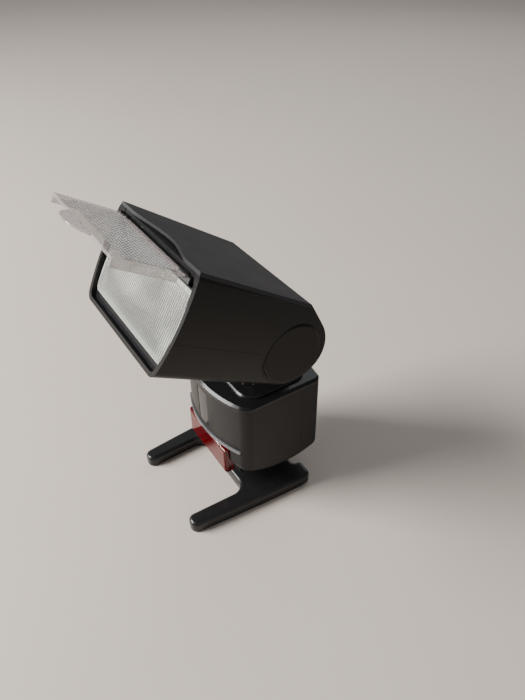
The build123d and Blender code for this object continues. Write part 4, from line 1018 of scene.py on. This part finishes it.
def loft(loops, triangles_in=0, phase=0):
    """Points and faces of a closed loft; the first faces of each row may be split for pyramids."""
    size = len(loops[0])
    points = [p for loop in loops for p in loop]
    faces = [tuple(range(size)), tuple((len(loops) - 1) * size + i for i in reversed(range(size)))]
    for row in range(len(loops) - 1):
        for i in range(size):
            a, b = row * size + i, row * size + (i + 1) % size
            c, d = b + size, a + size
            if i >= triangles_in:
                faces.append((a, b, c, d))
            elif (i + row + phase) % 2:
                faces += [(a, b, d), (b, c, d)]
            else:
                faces += [(a, b, c), (a, c, d)]
    return points, faces


points, faces = loft([panel_loop(along) for along in rows], len(top_x) - 1, first_relief_row)


def add_bar(half_profile, x0, x1):
    """A short bar between two places across the head, with a given outline along the head."""
    start = len(points)
    bar_points, bar_faces = loft([[in_head(x, a, u) for a, u in half_profile] for x in (x0, x1)])
    points.extend(bar_points)
    faces.extend(tuple(start + n for n in face) for face in bar_faces)


mid = (panel_under + panel_high) / 2
knuckle = PANEL_PLATE / 2
hinge_along = Vector(joints["panel_fold"]["pos_m"]) - pivot
hinge_along = hinge_along.dot(forward)
arc = [math.pi / 2 + math.pi * i / 8 for i in range(9)]
hinge_outline = [(hinge_along + knuckle * math.cos(t), mid + knuckle * math.sin(t)) for t in arc]
hinge_outline += [(plate_start + 0.00005, panel_under), (plate_start + 0.00005, panel_high)]
add_bar(hinge_outline, -EAR_INNER, EAR_INNER)
for side in (-1, 1):
    add_bar(hinge_outline, side * EAR_OUTER, side * (panel_half - 0.0001))
tab_steps = 24
tab_radius = (TAB_HALF**2 + TAB_REACH**2) / (2 * TAB_REACH)
tab_centre = TAB_REACH - tab_radius
tab_outline = []
for i in range(tab_steps + 1):
    x = -TAB_HALF + 2 * TAB_HALF * i / tab_steps
    tab_outline.append((x, panel_tip + tab_centre + math.sqrt(max(tab_radius**2 - x * x, 0.0))))
tab_loops = []
for inset, height in (
    (0.0002, panel_high), (0.0, panel_high - 0.0002), (0.0, panel_high - TAB_THICK + 0.0002),
    (0.0002, panel_high - TAB_THICK),
):
    tab_loops.append(
        [in_head(x * (1 - inset / TAB_HALF), a - inset, height) for x, a in tab_outline]
        + [in_head(TAB_HALF, panel_tip - 0.0001, height), in_head(-TAB_HALF, panel_tip - 0.0001, height)]
    )
start = len(points)
tab_points, tab_faces = loft(tab_loops)
points += tab_points
faces += [tuple(start + n for n in face) for face in tab_faces]
panel = mesh_piece("wide_angle_panel", points, faces, 20.0)


def on_panel_top(point):
    """Whether a point is on the plate's top face, inside its plain borders."""
    local = point - pivot
    on_top = abs(local.dot(upward) - panel_high) < 0.00005
    in_rows = relief_start - 0.0001 < local.dot(forward) < relief_end + 0.0001
    return on_top and in_rows and abs(local.x) < relief_half + 0.0001


mark_relief(panel, on_panel_top)
# The panel carries painted shade in the grooves between its pyramids and painted highlight on their
# near-white tops.
panel_polycarbonate = prismatic_plastic(
    "panel_polycarbonate",
    plain=(0.60, 0.53, 0.52, 1),
    ridge=(1.0, 1.0, 0.98, 1),
    groove=(0.08, 0.07, 0.07, 1),
    alphas=(0.50, 0.80, 0.86),
    groove_from=0.55,
    dim=0.9,
)
grow(
    panel,
    prism_relief,
    {
        "Pitch": PANEL_PITCH,
        "Depth": PANEL_RELIEF,
        "Start": in_head(-relief_half, relief_start, 0),
        "Along": forward,
        "Sink": -upward,
        "Finish": panel_polycarbonate,
    },
)
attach(panel, "wide_panel")
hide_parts("wide_panel")

# ---- The studio ------------------------------------------------------------------------
# A pale warm floor, a large soft light on the window's side, a soft fill and an even sky.
FLOOR_HALF = 4.0
CAMERA_PLACE = Vector((0.210021, -0.120259, 0.273025))
CAMERA_AZIMUTH = 1.00849528
CAMERA_DROP = 0.67319239
CAMERA_ROLL = -0.01522556
FOCAL_PIXELS = 608.995
IMAGE_HIGH = 700

form = bmesh.new()
bmesh.ops.create_grid(form, x_segments=8, y_segments=8, size=FLOOR_HALF)
floor_mesh = bpy.data.meshes.new("floor")
form.to_mesh(floor_mesh)
form.free()
floor = bpy.data.objects.new("floor", floor_mesh)
bpy.context.scene.collection.objects.link(floor)
floor_paint, floor_tree, floor_shader = new_material("floor_paint")
floor_place = add(floor_tree, "ShaderNodeTexCoord").outputs["Object"]
floor_tone = add(floor_tree, "ShaderNodeTexNoise", {"Vector": floor_place, "Scale": 6.0, "Detail": 4.0})
floor_color = add(
    floor_tree,
    "ShaderNodeMixRGB",
    {0: floor_tone.outputs[0], 1: (0.62, 0.54, 0.47, 1), 2: (0.66, 0.58, 0.51, 1)},
)
floor_tree.links.new(floor_color.outputs[0], floor_shader.inputs["Base Color"])
floor_shader.inputs["Roughness"].default_value = 0.55
floor_mesh.materials.append(floor_paint)


def soft_light(name, place, target, width, height, power, color):
    """A rectangular area light aimed at a point."""
    data = bpy.data.lights.new(name, "AREA")
    data.shape = "RECTANGLE"
    data.size, data.size_y = width, height
    data.energy = power
    data.color = color
    light = bpy.data.objects.new(name, data)
    bpy.context.scene.collection.objects.link(light)
    light.location = place
    light.rotation_euler = (Vector(target) - Vector(place)).to_track_quat("-Z", "Y").to_euler()


soft_light("window_light", (-0.55, -1.05, 0.75), (0, 0, 0.1), 0.7, 0.7, 47.0, (1.0, 0.99, 0.97))
soft_light("fill_light", (1.1, -0.1, 0.6), (0, 0, 0.06), 0.8, 0.6, 1.0, (1.0, 0.95, 0.90))
soft_light("back_light", (-0.7, 0.9, 0.8), (0, 0, 0.1), 0.8, 0.6, 2.5, (0.96, 0.98, 1.0))

sky = bpy.data.worlds.new("sky")
sky.use_nodes = True
sky.node_tree.nodes["Background"].inputs[0].default_value = (0.80, 0.83, 0.88, 1)
sky.node_tree.nodes["Background"].inputs[1].default_value = 0.26
bpy.context.scene.world = sky

camera_data = bpy.data.cameras.new("camera")
camera_data.sensor_width = 36.0
camera_data.lens = FOCAL_PIXELS * camera_data.sensor_width / IMAGE_HIGH
camera_data.clip_start = 0.01
camera = bpy.data.objects.new("camera", camera_data)
bpy.context.scene.collection.objects.link(camera)
a, e, r = CAMERA_AZIMUTH, CAMERA_DROP, CAMERA_ROLL
look = Vector((-math.sin(a) * math.cos(e), math.cos(a) * math.cos(e), -math.sin(e)))
level_right = Vector((math.cos(a), math.sin(a), 0))
level_up = level_right.cross(look)
right = level_right * math.cos(r) + level_up * math.sin(r)
top = level_up * math.cos(r) - level_right * math.sin(r)
camera.matrix_world = Matrix((right, top, -look)).transposed().to_4x4()
camera.location = CAMERA_PLACE
bpy.context.scene.camera = camera
